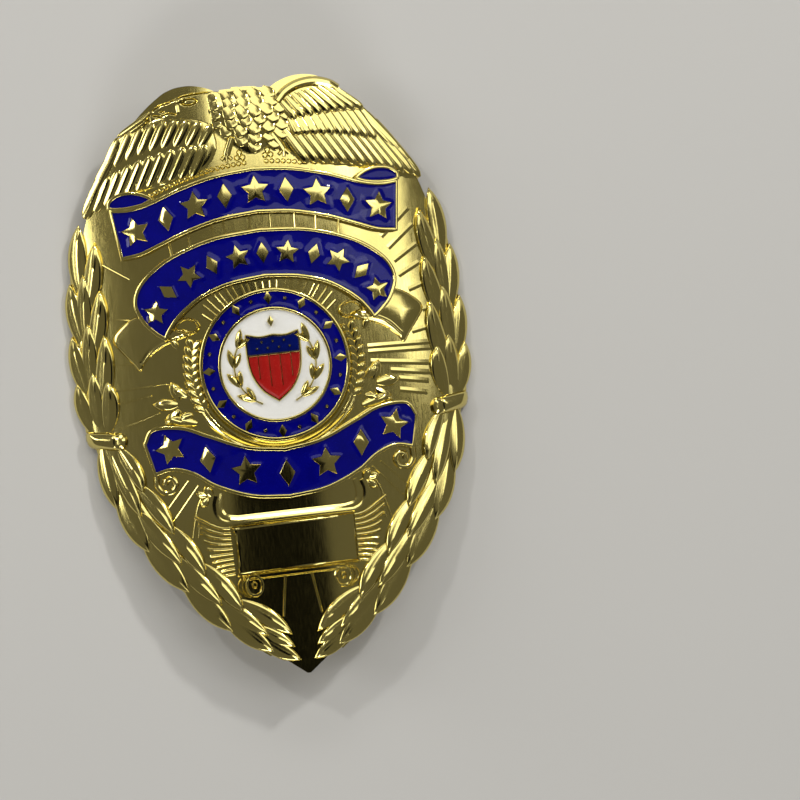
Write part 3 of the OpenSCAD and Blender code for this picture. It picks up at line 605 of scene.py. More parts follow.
def swept(lines, width, height, lift=0.0, taper=0.0, closed=False, sides=10, eased=0.0):
    """Solid of a bead along each line; taper is the share of the line that each end narrows over."""
    points, edges, tapers = [], [], []
    for line in lines:
        line = np.asarray(line, float)
        n, start = len(line), len(points)
        run = lengths(line) / max(lengths(line)[-1], 1e-9)
        points += [(p[0], p[1], lift) for p in line]
        edges += [(start + i, start + i + 1) for i in range(n - 1)]
        if closed:
            edges.append((start + n - 1, start))
        ends = np.minimum(run, 1 - run) / max(taper, 1e-9)
        tapers += list(np.sqrt(np.clip(ends, 0.04, 1)) if taper else np.ones(n))
    source = bpy.data.meshes.new("lines")
    source.from_pydata(points, edges, [])
    source.attributes.new("taper", "FLOAT", "POINT").data.foreach_set("value", np.array(tapers))
    mesh = grown(source, SWEEP, {"Width": width, "Height": height, "Round": eased, "Sides": sides,
                                 "Material": GOLD})
    return as_solid(mesh)


def two(lines):
    """Lines of the right side, and the same on the left."""
    return [np.asarray(line, float) for line in lines] + [mirrored(line) for line in lines]


def two_rows(rows):
    """Rows of the right side, and the same on the left."""
    left = np.array(rows, float)
    left[:, 0] *= -1
    left[:, 2] = 180 - left[:, 2]
    return np.vstack([rows, left])


def reaching(root, tip, width, height):
    """Row of a shape that reaches from its root to its tip."""
    reach = np.subtract(tip, root)
    return *root, bearing(reach), np.linalg.norm(reach), width, height


def studs(rows, shape, height, lift):
    """Solid of one shape on each row: x, y, angle in degrees, radius."""
    return repeated([(x, y, turn, r, r, height) for x, y, turn, r in rows], shape, lift=lift)


# Shapes that repeat: blades one unit long and wide, stars and beads of radius 1, all one unit high

def blade(widths, heights, across, rib=0.0, rib_w=0.16, bow=0.0, tilt=0.0, thick=0.0, steps=14,
          lanes=8):
    """A leaf or feather along x from 0 to 1. Widths and heights are pairs of place and share;
    across is the power of its cross-section; rib is the share of its height that is midrib, as
    wide as rib_w; bow is how far its middle swings to the left of its line, and tilt how much of
    its height its left side gains and its right side loses."""
    u = (1 - np.cos(np.linspace(0, math.pi, steps + 1))) / 2
    v = np.sin(np.linspace(-math.pi / 2, math.pi / 2, lanes + 1))
    w = np.interp(u, *through(widths, 24).T)
    h = np.interp(u, *through(heights, 24).T)
    dome = np.clip(1 - np.abs(v) ** across, 0, 1) ** (1 / across)
    dome = ((1 - rib) * dome + rib * np.exp(-(v / rib_w) ** 2)) * (1 + tilt * v)
    side = 0.5 * w[:, None] * v[None] + bow * 4 * (u * (1 - u))[:, None]
    top = np.dstack([np.repeat(u[:, None], lanes + 1, 1), side, h[:, None] * dome[None]])
    low = top.copy()
    low[..., 2] = top[..., 2] - thick if thick else -0.35
    return block(top, low)


LEAF_WIDTHS = [(0, 0.4), (0.2, 0.8), (0.45, 1), (0.7, 0.87), (0.88, 0.48), (1, 0.03)]
LEAF_HEIGHTS = [(0, 0.3), (0.3, 0.64), (0.7, 1), (0.9, 0.9), (1, 0.45)]
LEAF, BOWED_LEAF = (blade(LEAF_WIDTHS, LEAF_HEIGHTS, 2.6, rib=0.16, bow=bow, thick=0.75, steps=18,
                          lanes=14) for bow in (0, 0.13))
RIDGED_FEATHER = blade([(0, 0.35), (0.06, 0.7), (0.3, 1), (0.75, 0.9), (0.94, 0.6), (1, 0.2)],
                       [(0, 0.5), (0.07, 0.95), (0.3, 1), (0.75, 0.75), (1, 0.4)],
                       3.2, rib=0.4, rib_w=0.22, lanes=16)
BROAD_FEATHER = blade([(0, 0.7), (0.3, 0.95), (0.75, 1), (0.93, 0.75), (1, 0.2)],
                      [(0, 0.5), (0.45, 0.78), (0.8, 1), (0.95, 0.9), (1, 0.5)],
                      5, rib=0.06, rib_w=0.14, tilt=0.14, lanes=16)
SCALE = blade([(0, 0.5), (0.4, 0.92), (0.75, 1), (0.93, 0.75), (1, 0.3)],
              [(0, 0), (0.5, 0.5), (0.88, 1), (1, 0.85)],
              2.6, rib=0.12, rib_w=0.25, steps=12, lanes=10)


def star_line(x, y, turn, radius, tips, waist):
    """A star's outline; its waist is the share of the radius that its inner corners lie at."""
    steps = np.arange(2 * tips)
    r = radius * np.where(steps % 2 == 0, 1, waist)
    return oval((x, y), (r, r), np.radians(90 + turn + steps * 180 / tips))


def star(tips, waist, wall=0.8):
    """A faceted star of radius 1: its wall stands to a share of its height, then facets rise."""
    n = 2 * tips
    rim = star_line(0, 0, 0, 1, tips, waist)
    rings = [raised(rim * s, z) for s, z in ((1.04, -0.1), (1.0, wall * 0.85), (0.93, wall))]
    points = np.vstack(rings + [[[0, 0, 1], [0, 0, -0.1]]])
    faces = grid_faces(3, n, close_columns=True)
    faces += [[2 * n + i, 2 * n + (i + 1) % n, 3 * n] for i in range(n)]
    faces += [[(i + 1) % n, i, 3 * n + 1] for i in range(n)]
    return points, faces


# Shares of the radius that the inner corners lie at, and a lozenge's radius as a share of a star's
STAR_WAIST, LOZENGE_WAIST, LOZENGE_SHARE = 0.5, 0.6, 0.85
STAR, LOZENGE = star(5, STAR_WAIST), star(2, LOZENGE_WAIST)


def bead(rings=6, sides=12):
    """A round bead, half of it over the face."""
    rises = np.linspace(-math.pi / 2, math.pi / 2, rings + 1)[1:-1]
    turns = np.arange(sides) * 2 * math.pi / sides
    return loft([[(math.cos(a) * math.cos(b), math.cos(a) * math.sin(b), math.sin(a)) for b in turns]
                 for a in rises])


BEAD = bead()


# The struck wall, with the relief's hollow back

def wall_grid(columns, rows):
    """Grid over the outline, its columns from the lower to the upper edge."""
    top, low = whole(TOP_EDGE), whole(LOW_EDGE)
    x = TOP_EDGE[-1][0] * np.sin(np.linspace(-math.pi / 2, math.pi / 2, columns))
    low_y, top_y = np.interp(x, *low.T), np.interp(x, *top.T)
    y = low_y[:, None] + (top_y - low_y)[:, None] * np.linspace(0, 1, rows)
    return np.dstack([np.repeat(x[:, None], rows, 1), y])


# Height in metres that the relief is measured from
ABOVE = 0.03


def struck_wall(relief, columns=186, rows=266, soft=2, share=0.85, least=0.2):
    """The curved wall. Its back is hollow under the relief, by a share of the relief's own height
    softened in so many passes, and the metal left is never thinner than the least."""
    grid = wall_grid(columns, rows)
    base = finished(raised(grid.reshape(-1, 2), 0))
    tree = BVHTree.FromPolygons([Vector(p) for p in finished(relief[0])], relief[1])
    rise = np.zeros(len(base))
    for i, p in enumerate(base):
        hit = tree.ray_cast(Vector((p[0], p[1], ABOVE)), Vector((0, 0, -1)))[0]
        if hit is not None:
            rise[i] = max(0, (hit.z - p[2]) / MM)
    rise = rise.reshape(columns, rows)
    for _ in range(soft):
        rise[1:-1, 1:-1] = (rise[1:-1, 1:-1] * 2 + rise[:-2, 1:-1] + rise[2:, 1:-1]
                            + rise[1:-1, :-2] + rise[1:-1, 2:]) / 6
    back = -METAL + np.clip(rise * share, 0, METAL - least)
    back[0], back[-1], back[:, 0], back[:, -1] = -METAL, -METAL, -METAL, -METAL
    return block(np.dstack([grid, np.zeros_like(back)]), np.dstack([grid, back]))


# Ribbons

def ribbon_grid(top, low, across, shrink):
    """Points across and along a ribbon, from its lower to its upper edge, set in from both."""
    a, b = whole(top, 10), whole(low, 10)
    width = np.linalg.norm(a - b, axis=1)
    cut = np.minimum(shrink / np.maximum(width, 0.01), 0.46)[:, None]
    return ruled(b, a, cut + (1 - 2 * cut) * np.linspace(0, 1, across))


def dense_ribbon_grid(top, low, pitch=0.17, across=40):
    """A fine grid over a ribbon, evenly spaced along it."""
    low_edge, top_edge = ribbon_grid(top, low, 2, RIM_W * 0.6).transpose(1, 0, 2)
    run = lengths((top_edge + low_edge) / 2)
    at = np.linspace(0, run[-1], int(run[-1] / pitch))
    return ruled(along(low_edge, at, run), along(top_edge, at, run), np.linspace(0, 1, across))


def outline(top, low):
    """Closed line round a ribbon, along the middle of its rim."""
    grid = ribbon_grid(top, low, 2, RIM_W / 2)
    ring = np.vstack([grid[:, 0], grid[::-1, 1]])
    return ring[np.linalg.norm(ring - np.roll(ring, 1, 0), axis=1) > 0.02]


def ornaments(top, low, count, span, radius):
    """Stars along the middle of a ribbon, and the lozenges between them: x, y, angle, radius."""
    a, b = whole(top, 12), whole(low, 12)
    mid = (a + b) / 2
    run = lengths(mid)
    rows = []
    for k in range(count):
        i = np.argmin(np.abs(run - run[-1] * (0.5 + span * (k / (count - 1) - 0.5))))
        rows.append((*mid[i], bearing(a[i] - b[i]) - 90, radius * (1, LOZENGE_SHARE)[k % 2]))
    return rows[::2], rows[1::2]


def enamel_pool(grid, walls, level, meniscus=0.12, climb=0.22, dip=0.05, slack=1.2, sink=0.12):
    """Enamel over a grid of drawn points. It climbs by the meniscus where it meets the gold of the
    walls, within about a climb of them, and dips between them, over about a slack."""
    near = np.min([distance_to(grid.reshape(-1, 2), wall, True) for wall in walls], axis=0)
    h = level + meniscus * np.exp(-near / climb) - dip * (1 - np.exp(-near / slack))
    top = np.dstack([grid, h.reshape(grid.shape[:2])])
    return block(top, top * (1, 1, 0) + (0, 0, FLOOR_H - sink))


def ribbons():
    """Floors, rims, folds and ornaments in gold, and the enamel of each ribbon."""
    gold, stars, lozenges = [], [], []
    for name, (top, low, *layout) in RIBBONS.items():
        rim = outline(top, low)
        gold.append(slab(ribbon_grid(top, low, 5, RIM_W / 2), FLOOR_H, UNDER))
        gold.append(swept([rim], RIM_W, 1.1, lift=RIM_H - 0.55, closed=True, eased=0.14))
        fives, fours = ornaments(top, low, *layout)
        stars += fives
        lozenges += fours
        walls = [star_line(*row, 5, STAR_WAIST) for row in fives]
        walls += [star_line(*row, 2, LOZENGE_WAIST) for row in fours]
        pool = enamel_pool(dense_ribbon_grid(top, low), [rim] + walls, POOL_H)
        made = drawn_piece("enamel_" + name + "_pool", pool, BLUE, slot="blue_enamel")
        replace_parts(made, "enamel_" + name)
    top, low = through(FOLD_TOP, 6), through(FOLD_LOW, 6)
    grid, rim = ruled(low, top, np.linspace(0, 1, 8)), np.vstack([low, top[-2:0:-1]])
    drawn_piece("enamel_folds", both(enamel_pool(grid, [rim], 0.68, sink=0.1)), BLUE, slot="blue_enamel")
    return joined(*gold, both(slab(grid, 0.4, UNDER)),
                  swept(two([rim]), 0.45, 0.9, lift=0.5, closed=True, eased=0.13),
                  studs(stars, STAR, 0.6, FLOOR_H - 0.02), studs(lozenges, LOZENGE, 0.6, FLOOR_H - 0.02))


# Outline of the plain end behind the middle ribbon, its crease and curl, and the roll under the lower
# ribbon
TAIL = [(13.1, 6.4), (14.6, 8), (16.6, 8.6), (18.6, 8.1), (20.3, 6.9), (20.95, 6.1), (20.9, 5.2),
        (19.9, 3.8), (18.8, 2.4), (17.9, 1.25), (17.2, 2.1), (16.2, 3.1), (14.9, 3.9), (13.3, 4.5),
        (11.6, 4.95), (10.3, 5.3), (11.2, 5.9)]
TAIL_FOLD = [(10.6, 5.6), (12.4, 5.35), (14.2, 4.9), (16, 4), (17.6, 2.3)]
CURL = [(12.9, 6.3), (12.1, 7.1), (11, 7.35), (9.95, 6.9), (9.6, 6.1), (10.2, 5.5), (11.3, 5.5),
        (12.4, 5.8)]
ROLL = [(17.4, -12.9), (17.4, -14.2), (16.6, -15.2), (15.4, -15.1), (14.9, -14.2), (15.4, -13.4),
        (16.2, -13.6), (16.3, -14.2)]


def pillow(points, line, rise, soft):
    """Height of a cushion over a closed outline: up to rise, over a distance of soft."""
    d = distance_to(points, line, True)
    over = rise * np.sqrt(1 - (1 - np.clip(d / soft, 0, 1)) ** 2)
    return np.where(inside(points, line), over, -0.3 * np.clip(d / 0.3, 0, 1))


def engraved(points, line, depth, width):
    """Height of a fine soft line, to be added, or taken off as a cut."""
    return depth * np.exp(-(distance_to(points, line) / width) ** 2)


def tail_height(points, swell=0.28, crease=0.2, reach=2.5):
    """A ribbon's end, smooth and flat with a rolled edge and a crease where it folds. The swell is
    how far it rises from its edge inwards, over so much reach."""
    line = through(TAIL, 5)
    h = pillow(points, line, 0.3, 0.28)
    t = np.clip(distance_to(points, line, True) / reach, 0, 1)
    h = h + swell * t * (2 - t) * (h > 0)
    return h + engraved(points, through(TAIL_FOLD, 6), crease, 0.22) * (h > 0)


def ribbon_tails():
    """The plain ends folded behind the middle ribbon, the left one flatter and with its crease cut
    in, and the rolls under the lower ribbon's ends."""
    low, high = (9.8, 0.8), (21.4, 9)
    left = patch(low, high, 0.14, lambda points: tail_height(points, 0.04, -0.12))
    return joined(patch(low, high, 0.14, tail_height), turned_over(left),
                  swept(two([through(CURL, 6)]), 0.38, 0.5, lift=0.25, closed=True),
                  swept(two([through(ROLL, 6)]), 0.7, 0.6, lift=0.1, taper=0.2))


# The seal

def disc_grid(inner, outer, rings, sides):
    """Rings of points from an inner to an outer radius, closed on themselves."""
    a = np.linspace(0, 2 * math.pi, sides + 1)
    r = np.linspace(inner, outer, rings)
    return np.stack([r[:, None] * np.cos(a), r[:, None] * np.sin(a)], -1)


def crest_line(share=1.0):
    """The crest's outline, at a share of its size."""
    half = np.asarray(CREST, float) * share
    line = np.vstack([through(half[:3], 5), through(half[2:], 6)[1:]])
    return np.vstack([line, mirrored(line[-2:0:-1])])[::-1]


def crest_pool(low_y, high_y, walls, share=0.98, count=40):
    """Enamel within the crest's outline, between two heights, under the dip of its top edge."""
    side = through(np.array(CREST[2:]) * share, 6)[::-1]
    y = np.linspace(low_y, high_y, count)
    half = np.maximum(0.05, np.interp(y, side[:, 1], side[:, 0]))
    grid = np.stack([half[:, None] * np.linspace(-1, 1, count), np.repeat(y[:, None], count, 1)], -1)
    dip = (DIP_Y + DIP_RISE * (np.abs(grid[..., 0]) / DIP_HALF) ** 2) * share
    grid[..., 1] = np.minimum(grid[..., 1], dip)
    return enamel_pool(grid, walls, ENAMEL_H + 0.02, meniscus=0.1, sink=0.0)


def seal_frame(marks, dots):
    """The seal's floor and its two rims, with the lozenges and beads between them."""
    return [slab(disc_grid(0.02, SEAL_R - 0.1, 24, 90), FLOOR_H, UNDER),
            swept([circle(SEAL_R - RIM_W / 2)], 0.5, 1.1, lift=RIM_H - 0.52, closed=True, eased=0.14),
            swept([circle(RING_R - RIM_W / 2)], 0.4, 1.0, lift=RIM_H - 0.48, closed=True, eased=0.12),
            studs(marks, LOZENGE, 0.5, FLOOR_H), studs(dots, BEAD, 0.36, ENAMEL_H - 0.08)]


def crest(stripes):
    """The crest's floor and outline, its stripes, and the line under its dotted upper part."""
    levels = ((1.04, -0.2), (1.04, 0.5), (0.9, 0.5), (0.5, 0.5), (0.02, 0.5), (0.02, -0.2))
    dots = [(x, y, 0, 0.2) for y, places in ((2.25, (-2.2, -0.75, 0.75, 2.2)), (3.1, (-1.5, 0, 1.5)))
            for x in places]
    return [loft([raised(crest_line(share), height) for share, height in levels]),
            swept([crest_line()], 0.42, 0.95, lift=RIM_H - 0.42, closed=True),
            swept(stripes, 0.22, 0.7, lift=0.62),
            swept([bar((-3.5, CHIEF_Y), (3.5, CHIEF_Y))], 0.42, 0.9, lift=RIM_H - 0.4),
            studs(dots, BEAD, 0.3, ENAMEL_H)]


def sprigs(radius=5.5):
    """The sprigs at the crest's sides, and the lozenge over it."""
    leaves = []
    for a in (-56, -28, 0, 28):
        base = polar(radius, a)
        leaves += [(*base, a + 78, 2.7, 0.95, 0.62), (*base, a + 118, 2.3, 0.85, 0.6)]
    return [repeated(two_rows(leaves), LEAF, lift=FLOOR_H),
            swept(two([arc(radius, -66, 44, 24)]), 0.26, 0.7, lift=0.6, taper=0.1),
            studs([(0, 5.75, 0, 0.75)], LOZENGE, 0.7, FLOOR_H)]


def seal():
    """The seal's gold, and its four enamels."""
    middle = (SEAL_R + RING_R) / 2 - 0.05
    marks = [(*polar(middle, a), a - 90, 0.95) for a in range(90, 450, 30)]
    dots = [(*polar(middle, a), 0, 0.3) for a in range(105, 465, 30)]
    stripes = [bar((x, CHIEF_Y - 0.1), (x, -3.4 + abs(x) * 0.75), 0.4) for x in (-2.2, -0.75, 0.75, 2.2)]
    walls = [circle(SEAL_R - RIM_W), circle(RING_R)]
    walls += [star_line(*row, 2, LOZENGE_WAIST) for row in marks]
    ring = enamel_pool(disc_grid(RING_R - 0.2, SEAL_R - 0.2, 12, 260), walls, POOL_H)
    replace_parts(drawn_piece("enamel_ring_pool", ring, BLUE, slot="blue_enamel"), "enamel_ring")
    white = enamel_pool(disc_grid(0.4, RING_R - 0.3, 40, 160), [circle(RING_R - RIM_W), crest_line(1.06)],
                        ENAMEL_H - 0.12, meniscus=0.1)
    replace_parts(drawn_piece("enamel_white_pool", white, WHITE, slot="white_enamel"), "enamel_white")
    red = crest_pool(-4.6, CHIEF_Y, [crest_line(0.97)] + stripes)
    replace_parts(drawn_piece("enamel_red_pool", red, RED, slot="red_enamel"), "enamel_red")
    navy = crest_pool(CHIEF_Y, 4.2, [crest_line(0.97)])
    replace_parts(drawn_piece("enamel_chief_pool", navy, NAVY, slot="dark_blue_enamel"), "enamel_chief")
    return joined(*seal_frame(marks, dots), *crest(stripes), *sprigs())


def seal_surround():
    """Fine mouldings under the seal, buds and leaves at its sides."""
    solids = [swept([arc(r, 206, 334, 60)], 0.6, 0.35, lift=lift, taper=0.12, sides=4)
              for r, lift in ((10.45, 0.26), (11.05, 0.16), (11.65, 0.08))]
    buds = [(*polar(11.15, a), a + 90 + lean, 1.7, 1, 0.5)
            for a in np.arange(-27, 21, 5.5) for lean in (-38, 32)]
    return joined(*solids, repeated(two_rows(buds), LEAF, lift=0.05), repeated(two_rows(SIDE_LEAVES), LEAF))


# Laurel and eagle

def leaf_rows(leaves, bowed):
    """Rows of the leaves that bend, or of those that don't; a bend to the right of a leaf's line
    is a width under 0."""
    rows = []
    for x, y, tip_x, tip_y, width, bend, height in leaves:
        reach = np.array([tip_x - x, tip_y - y])
        left_is_out = np.dot((-reach[1], reach[0]), (x, y) + reach / 2) > 0
        side = 1 if (bend >= 0) == left_is_out else -1
        if bool(bend) == bowed:
            rows.append(reaching((x, y), (tip_x, tip_y), width * side, height))
    return rows


def tie_height(points):
    """The rounded band round the stems."""
    return pillow(points, smooth_loop(TIE, 5), 1.1, 1.15)


def laurel():
    """Two laurel sprays and the ties across them."""
    every = UPPER_LEAVES + LOWER_LEAVES
    spray = joined(repeated(leaf_rows(every, False), LEAF), repeated(leaf_rows(every, True), BOWED_LEAF),
                   swept([through(UPPER_STEM), through(LOWER_STEM)], 3.4, 0.9, lift=-0.18, taper=0.12))
    tie = joined(patch((21.4, -9.2), (26.4, -5.6), 0.12, tie_height),
                 repeated([(21.9, -7.75, 0, 1.15, 1.25, 0.9)], BEAD, lift=0.05))
    return both(spray), both(tie)


# The eagle's head, with its fine cuts, the edges of its breast and left wing, and a shoulder
HEAD_LINE = [(-3.4, 37), (-5.6, 37.25), (-8, 37.15), (-9.8, 36.55), (-11.4, 36.2), (-12.4, 35.6),
             (-12.9, 34.7), (-12.75, 33.9), (-12.2, 34.3), (-11.5, 34.35), (-10.4, 33.95), (-8.6, 33.85),
             (-6.4, 33.3), (-4.4, 32.3), (-2.6, 31.6), (-1.6, 34.2)]
HEAD_CUTS = [[(-8.4, 35.95), (-7.8, 36.4), (-6.9, 36.4), (-6.4, 36), (-7.1, 35.65), (-7.9, 35.65),
              (-8.4, 35.95)],
             [(-12.3, 34.75), (-11.3, 34.6), (-10.3, 34.85), (-9.4, 34.6)],
             [(-11.35, 35.2), (-10.95, 35.15)],
             [(-12.3, 35.5), (-11.4, 36), (-9.9, 36.35), (-8.9, 36.75), (-7, 36.95), (-4.6, 37.05)]]
BREAST_LINE = [(-5.4, 36.6), (-1.5, 37.2), (2.2, 36.9), (4.6, 36.2), (5.9, 34), (5.2, 31.4),
               (2.8, 29.2), (0.2, 28.2), (-2, 29.4), (-4.4, 31.6), (-6.4, 34.2)]
WING_LINE = [(-5, 33.6), (-9, 34.6), (-13, 34.4), (-17, 31.6), (-21, 26.4), (-22.6, 23.2),
             (-19.6, 23.6), (-14, 25.2), (-7, 26.6), (-4.4, 29.6)]
SHOULDER = [(4.4, 34.9), (5.6, 36.1), (7.4, 36.95), (9.6, 37.2), (11.6, 36.7), (12.8, 35.9)]
LEGS = [[(-2.3, 30.6), (-2.9, 29.3), (-3.3, 28.3)], [(3.2, 30.6), (4, 29.3), (4.5, 28.3)]]


def head_height(points):
    """The eagle's head, with fine cuts for the eye, mouth, nostril and crown, and a low brow and
    cheek."""
    h = pillow(points, smooth_loop(HEAD_LINE, 6), 0.32, 0.12)
    for row in HEAD_CUTS:
        h = h - engraved(points, through(row, 5), 0.3, 0.1)
    h = h + engraved(points, [(-8.9, 36.3), (-8.5, 36.5)], 0.12, 0.16)
    return h + engraved(points, [(-9.1, 35.7), (-9.05, 34.9)], 0.08, 0.14)


def breast_height(points, rise=0.75, reach=3):
    """A swell that starts and ends softly."""
    line = smooth_loop(BREAST_LINE, 5)
    t = np.clip(distance_to(points, line, True) / reach, 0, 1) * inside(points, line)
    return rise * t * t * (3 - 2 * t)


def wing_ground_height(points, rise=0.3, soft=1.0):
    """A low swell under each wing, so the feathers stand over the field."""
    line = smooth_loop(WING_LINE, 5)
    return np.maximum(*(pillow(points * (side, 1), line, rise, soft) for side in (1, -1)))


def feather_rows(rows):
    """Feathers whose roots and tips are spread along two bowed lines."""
    made = []
    for count, root_a, root_b, root_rise, tip_a, tip_b, tip_rise, width, height in rows:
        for k in range(count):
            t = k / (count - 1)
            root = np.add(root_a, np.subtract(root_b, root_a) * t) + (0, root_rise * 4 * t * (1 - t))
            tip = np.add(tip_a, np.subtract(tip_b, tip_a) * t) + (0, tip_rise * 4 * t * (1 - t))
            made.append(reaching(root, tip, width, height))
    return made


def breast_scales():
    """The breast's small feathers, smaller towards its left edge, set on its swell."""
    scales = []
    for y, left, right, count in BREAST:
        pitch = (right - left) / (count - 1)
        for x in np.linspace(left, right, count) + pitch / 2 * (len(scales) % 2):
            size = np.interp(x, [-6.5, -2], [0.5, 1])
            scales.append((x - 0.3, y + 0.7, -58 + x * 5, 2.0 * size, 1.7 * size, 0.25))
    ground = breast_height(np.array(scales)[:, :2] + (0.4, -0.7))
    return repeated(scales, SCALE, lift=np.maximum(ground, 0.28) + 0.02)


def eagle():
    """Head, breast with its small feathers, wings, claws and the branch of beads."""
    claw_y, bead_y = 28.5, 28.1
    toes = [bar((x, claw_y), polar(1, a, x, claw_y), 0.2) for x in (-3.3, 4.5) for a in (225, 270, 315)]
    rim = whole(UPPER_TOP, 10) + (0, 0.8)
    spans = [rim[(rim[:, 0] > a) & (rim[:, 0] < b)] for a, b in ((-14, -0.6), (1.8, 6.6))]
    beads = [(x, y, 0, 0.36) for span in spans for x, y in evenly(span, 0.72)]
    trefoils = [(*polar(0.45, a, x, bead_y), 0, 0.42) for x in (-1.5, 2.3) for a in (90, 210, 330)]
    return joined(patch((-14, 31), (-0.8, 38), 0.055, head_height),
                  patch((-7, 27.6), (6.6, 38), 0.2, breast_height),
                  patch((-23.5, 22.4), (23.5, 35.6), 0.3, wing_ground_height),
                  repeated(feather_rows(LEFT_WING), RIDGED_FEATHER, lift=0.2),
                  repeated(feather_rows(RIGHT_WING), BROAD_FEATHER, lift=0.2),
                  swept([through(SHOULDER, 6)], 1.3, 1.5, lift=0.2, taper=0.3), breast_scales(),
                  swept([through(leg, 5) for leg in LEGS], 1.0, 0.9, lift=0.15, taper=0.3),
                  swept(toes, 0.5, 0.6, lift=0.15, taper=0.5),
                  studs(beads, BEAD, 0.28, 0.02), studs(trefoils, BEAD, 0.3, 0.04))


# Rays and plaque

def rays(fan=1.02):
    """Fine raised rays over the field, short ones round the seal, and bars between the ribbons, which
    fan out upwards."""
    thin, broad = ([bar(*ends, 0.8) for ends in table] for table in (THIN_RAYS, BROAD_RAYS))
    short = [np.array([polar(SEAL_R + r, angle) for r in (0.1, reach)]) for angle, reach in GAP_RAYS]
    gap = [evenly(line, 0.5) for line in short + [mirrored(line) + (0.2, 0) for line in short]]
    upper_low, middle_top = whole(UPPER_LOW, 10), whole(MIDDLE_TOP, 10)
    middle_top = middle_top[np.abs(middle_top[:, 0]) < 16]
    bars = [bar((x, np.interp(x, *middle_top.T)), (x * fan, np.interp(x * fan, *upper_low.T)), 0.3)
            for x in BETWEEN_RAYS]
    return joined(swept(thin, 0.22, 0.28, taper=0.1, sides=8), swept(broad, 0.8, 0.11, taper=0.15, sides=4),
                  swept(gap, 0.34, 0.5, taper=0.1, sides=8), swept(bars, 0.3, 0.6, sides=8))


PANEL = [(-8.2, -20.8), (-7.85, -22), (-7.75, -23.6), (-7.8, -25.4), (-7.95, -27.1), (8.2, -26.9),
         (8.25, -24), (8.35, -20.65)]
PANEL_RIM = [(-7.95, -27), (-7.75, -23.6), (-8.1, -20.9), (8.25, -20.75)]
# The mouldings over the panel, right half: points and width; the straight ones at the panel's top
# and under it: width, height, ends
MOULDINGS = [([(10.1, -16.3), (10.5, -17.4), (10.4, -18.8), (9.7, -19.9), (8.5, -20.45)], 1.1),
             ([(9, -16.2), (9.25, -17.4), (9.2, -18.6), (8.6, -19.3), (7.2, -19.6)], 0.6)]
STRAIGHTS = [(0.45, 0.6, (-8.4, -20.6), (8.6, -20.5)), (0.3, 0.6, (-8.1, -27.25), (8.3, -27.15)),
             (0.22, 0.3, (-7.4, -27.9), (7.2, -27.8))]
# Folds that hang beside the panel
DRAPERY = [[(11.2, -15.6), (12.3, -17.6), (12.9, -19.6), (13.4, -21.6)],
           [(12.5, -18.6), (12.4, -20.2), (12.7, -21.7)]]
# Leaves at the ends of the mouldings: x, y, angle, length, width, height
KNOB = [(10.4, -16.4, 62, 1.6, 1.2, 0.75), (10.9, -16.2, 12, 1.6, 1.1, 0.7),
        (10.9, -16.6, -46, 1.5, 1, 0.65)]


def plaque_height(points):
    """The plain panel, a little proud, with a fine raised rim at its top and left."""
    h = pillow(points, PANEL, 0.4, 0.2)
    return h + engraved(points, PANEL_RIM, 0.12, 0.16) * (h > 0)


def plaque():
    """Mouldings, panel, fluting, volutes and pendants under the lower ribbon."""
    gold = [patch((-8.6, -27.6), (8.8, -20.4), 0.12, plaque_height)]
    for points, width in MOULDINGS:
        right = through(points)
        line = evenly(np.vstack([right, mirrored(right[::-1])]), 0.4)
        gold.append(swept([line], width, 0.34, lift=0.12, taper=0.03, sides=4))
    for width, height, start, stop in STRAIGHTS:
        gold.append(swept([bar(start, stop)], width, height, lift=0.05, taper=0.03))
    flutes = []
    for t in np.linspace(0, 1, 10):
        y, lean, far = -20.9 - 6.0 * t, 2.1 - 3.9 * t, 13.0 - 2.9 * t
        flutes.append(through([(8.4, y), (9.6, y + 0.08 * lean), (11, y + 0.4 * lean), (far, y + lean)], 5))
    scroll = oval((6, -28.8), (1.05, 1.3), np.linspace(0, 2 * math.pi, 33)[:-1])
    bows = [oval((6, -28.7), (width, 1.6), np.linspace(-1.2, 1.3, 14)) for width in (1.6, 2.1)]
    gold += [swept(two(flutes), 0.42, 0.46, taper=0.4, sides=12),
             swept(two([scroll]), 0.46, 0.5, lift=0.02, closed=True),
             repeated(two_rows([(6, -28.7, 0, 0.42, 0.5, 0.45)]), BEAD),
             swept(two(bows), 0.26, 0.36, lift=0.02, taper=0.2),
             swept(two([bar((1.8, -28), (2.6, -33.3))]), 0.34, 0.4, taper=0.08),
             swept(two([through(fold, 6) for fold in DRAPERY]), 0.3, 0.26, taper=0.15),
             repeated(two_rows(KNOB), LEAF, lift=0.1)]
    return joined(*gold)


# Findings soldered to the back, in finished millimetres over the resting surface

# The hinge: its place in the drawing, the pin's height, the gap between the ears, their thickness
# and radius, and the hole's radius
HINGE_Y, PIN_Z, EAR_GAP, EAR_T, EAR_R, RIVET_HOLE = -24.6, 1.9, 2.1, 0.8, 1.4, 0.47
# The catch: where its rings start in the drawing, their thickness, radius and wall, the slot's width,
# and half the width of a post
RING_Y, RING_T, CATCH_R, RING_WALL, SLOT, POST_HALF = (30.7, 33.3), 1.0, 1.85, 0.35, 1.5, 1.3
# How far the plates sink into the wall's back, and how far below it the hinge's ears and stop, and
# the catch's posts, end
PLATE_SINK, EAR_END, POST_END = 0.15, 0.3, 0.2


def soldered(name, *solids):
    """A finding, given in millimetres from the badge's centre and the resting surface."""
    points, faces = joined(*solids)
    piece(name, new_mesh(name, points * MM, faces), PIN_GOLD)


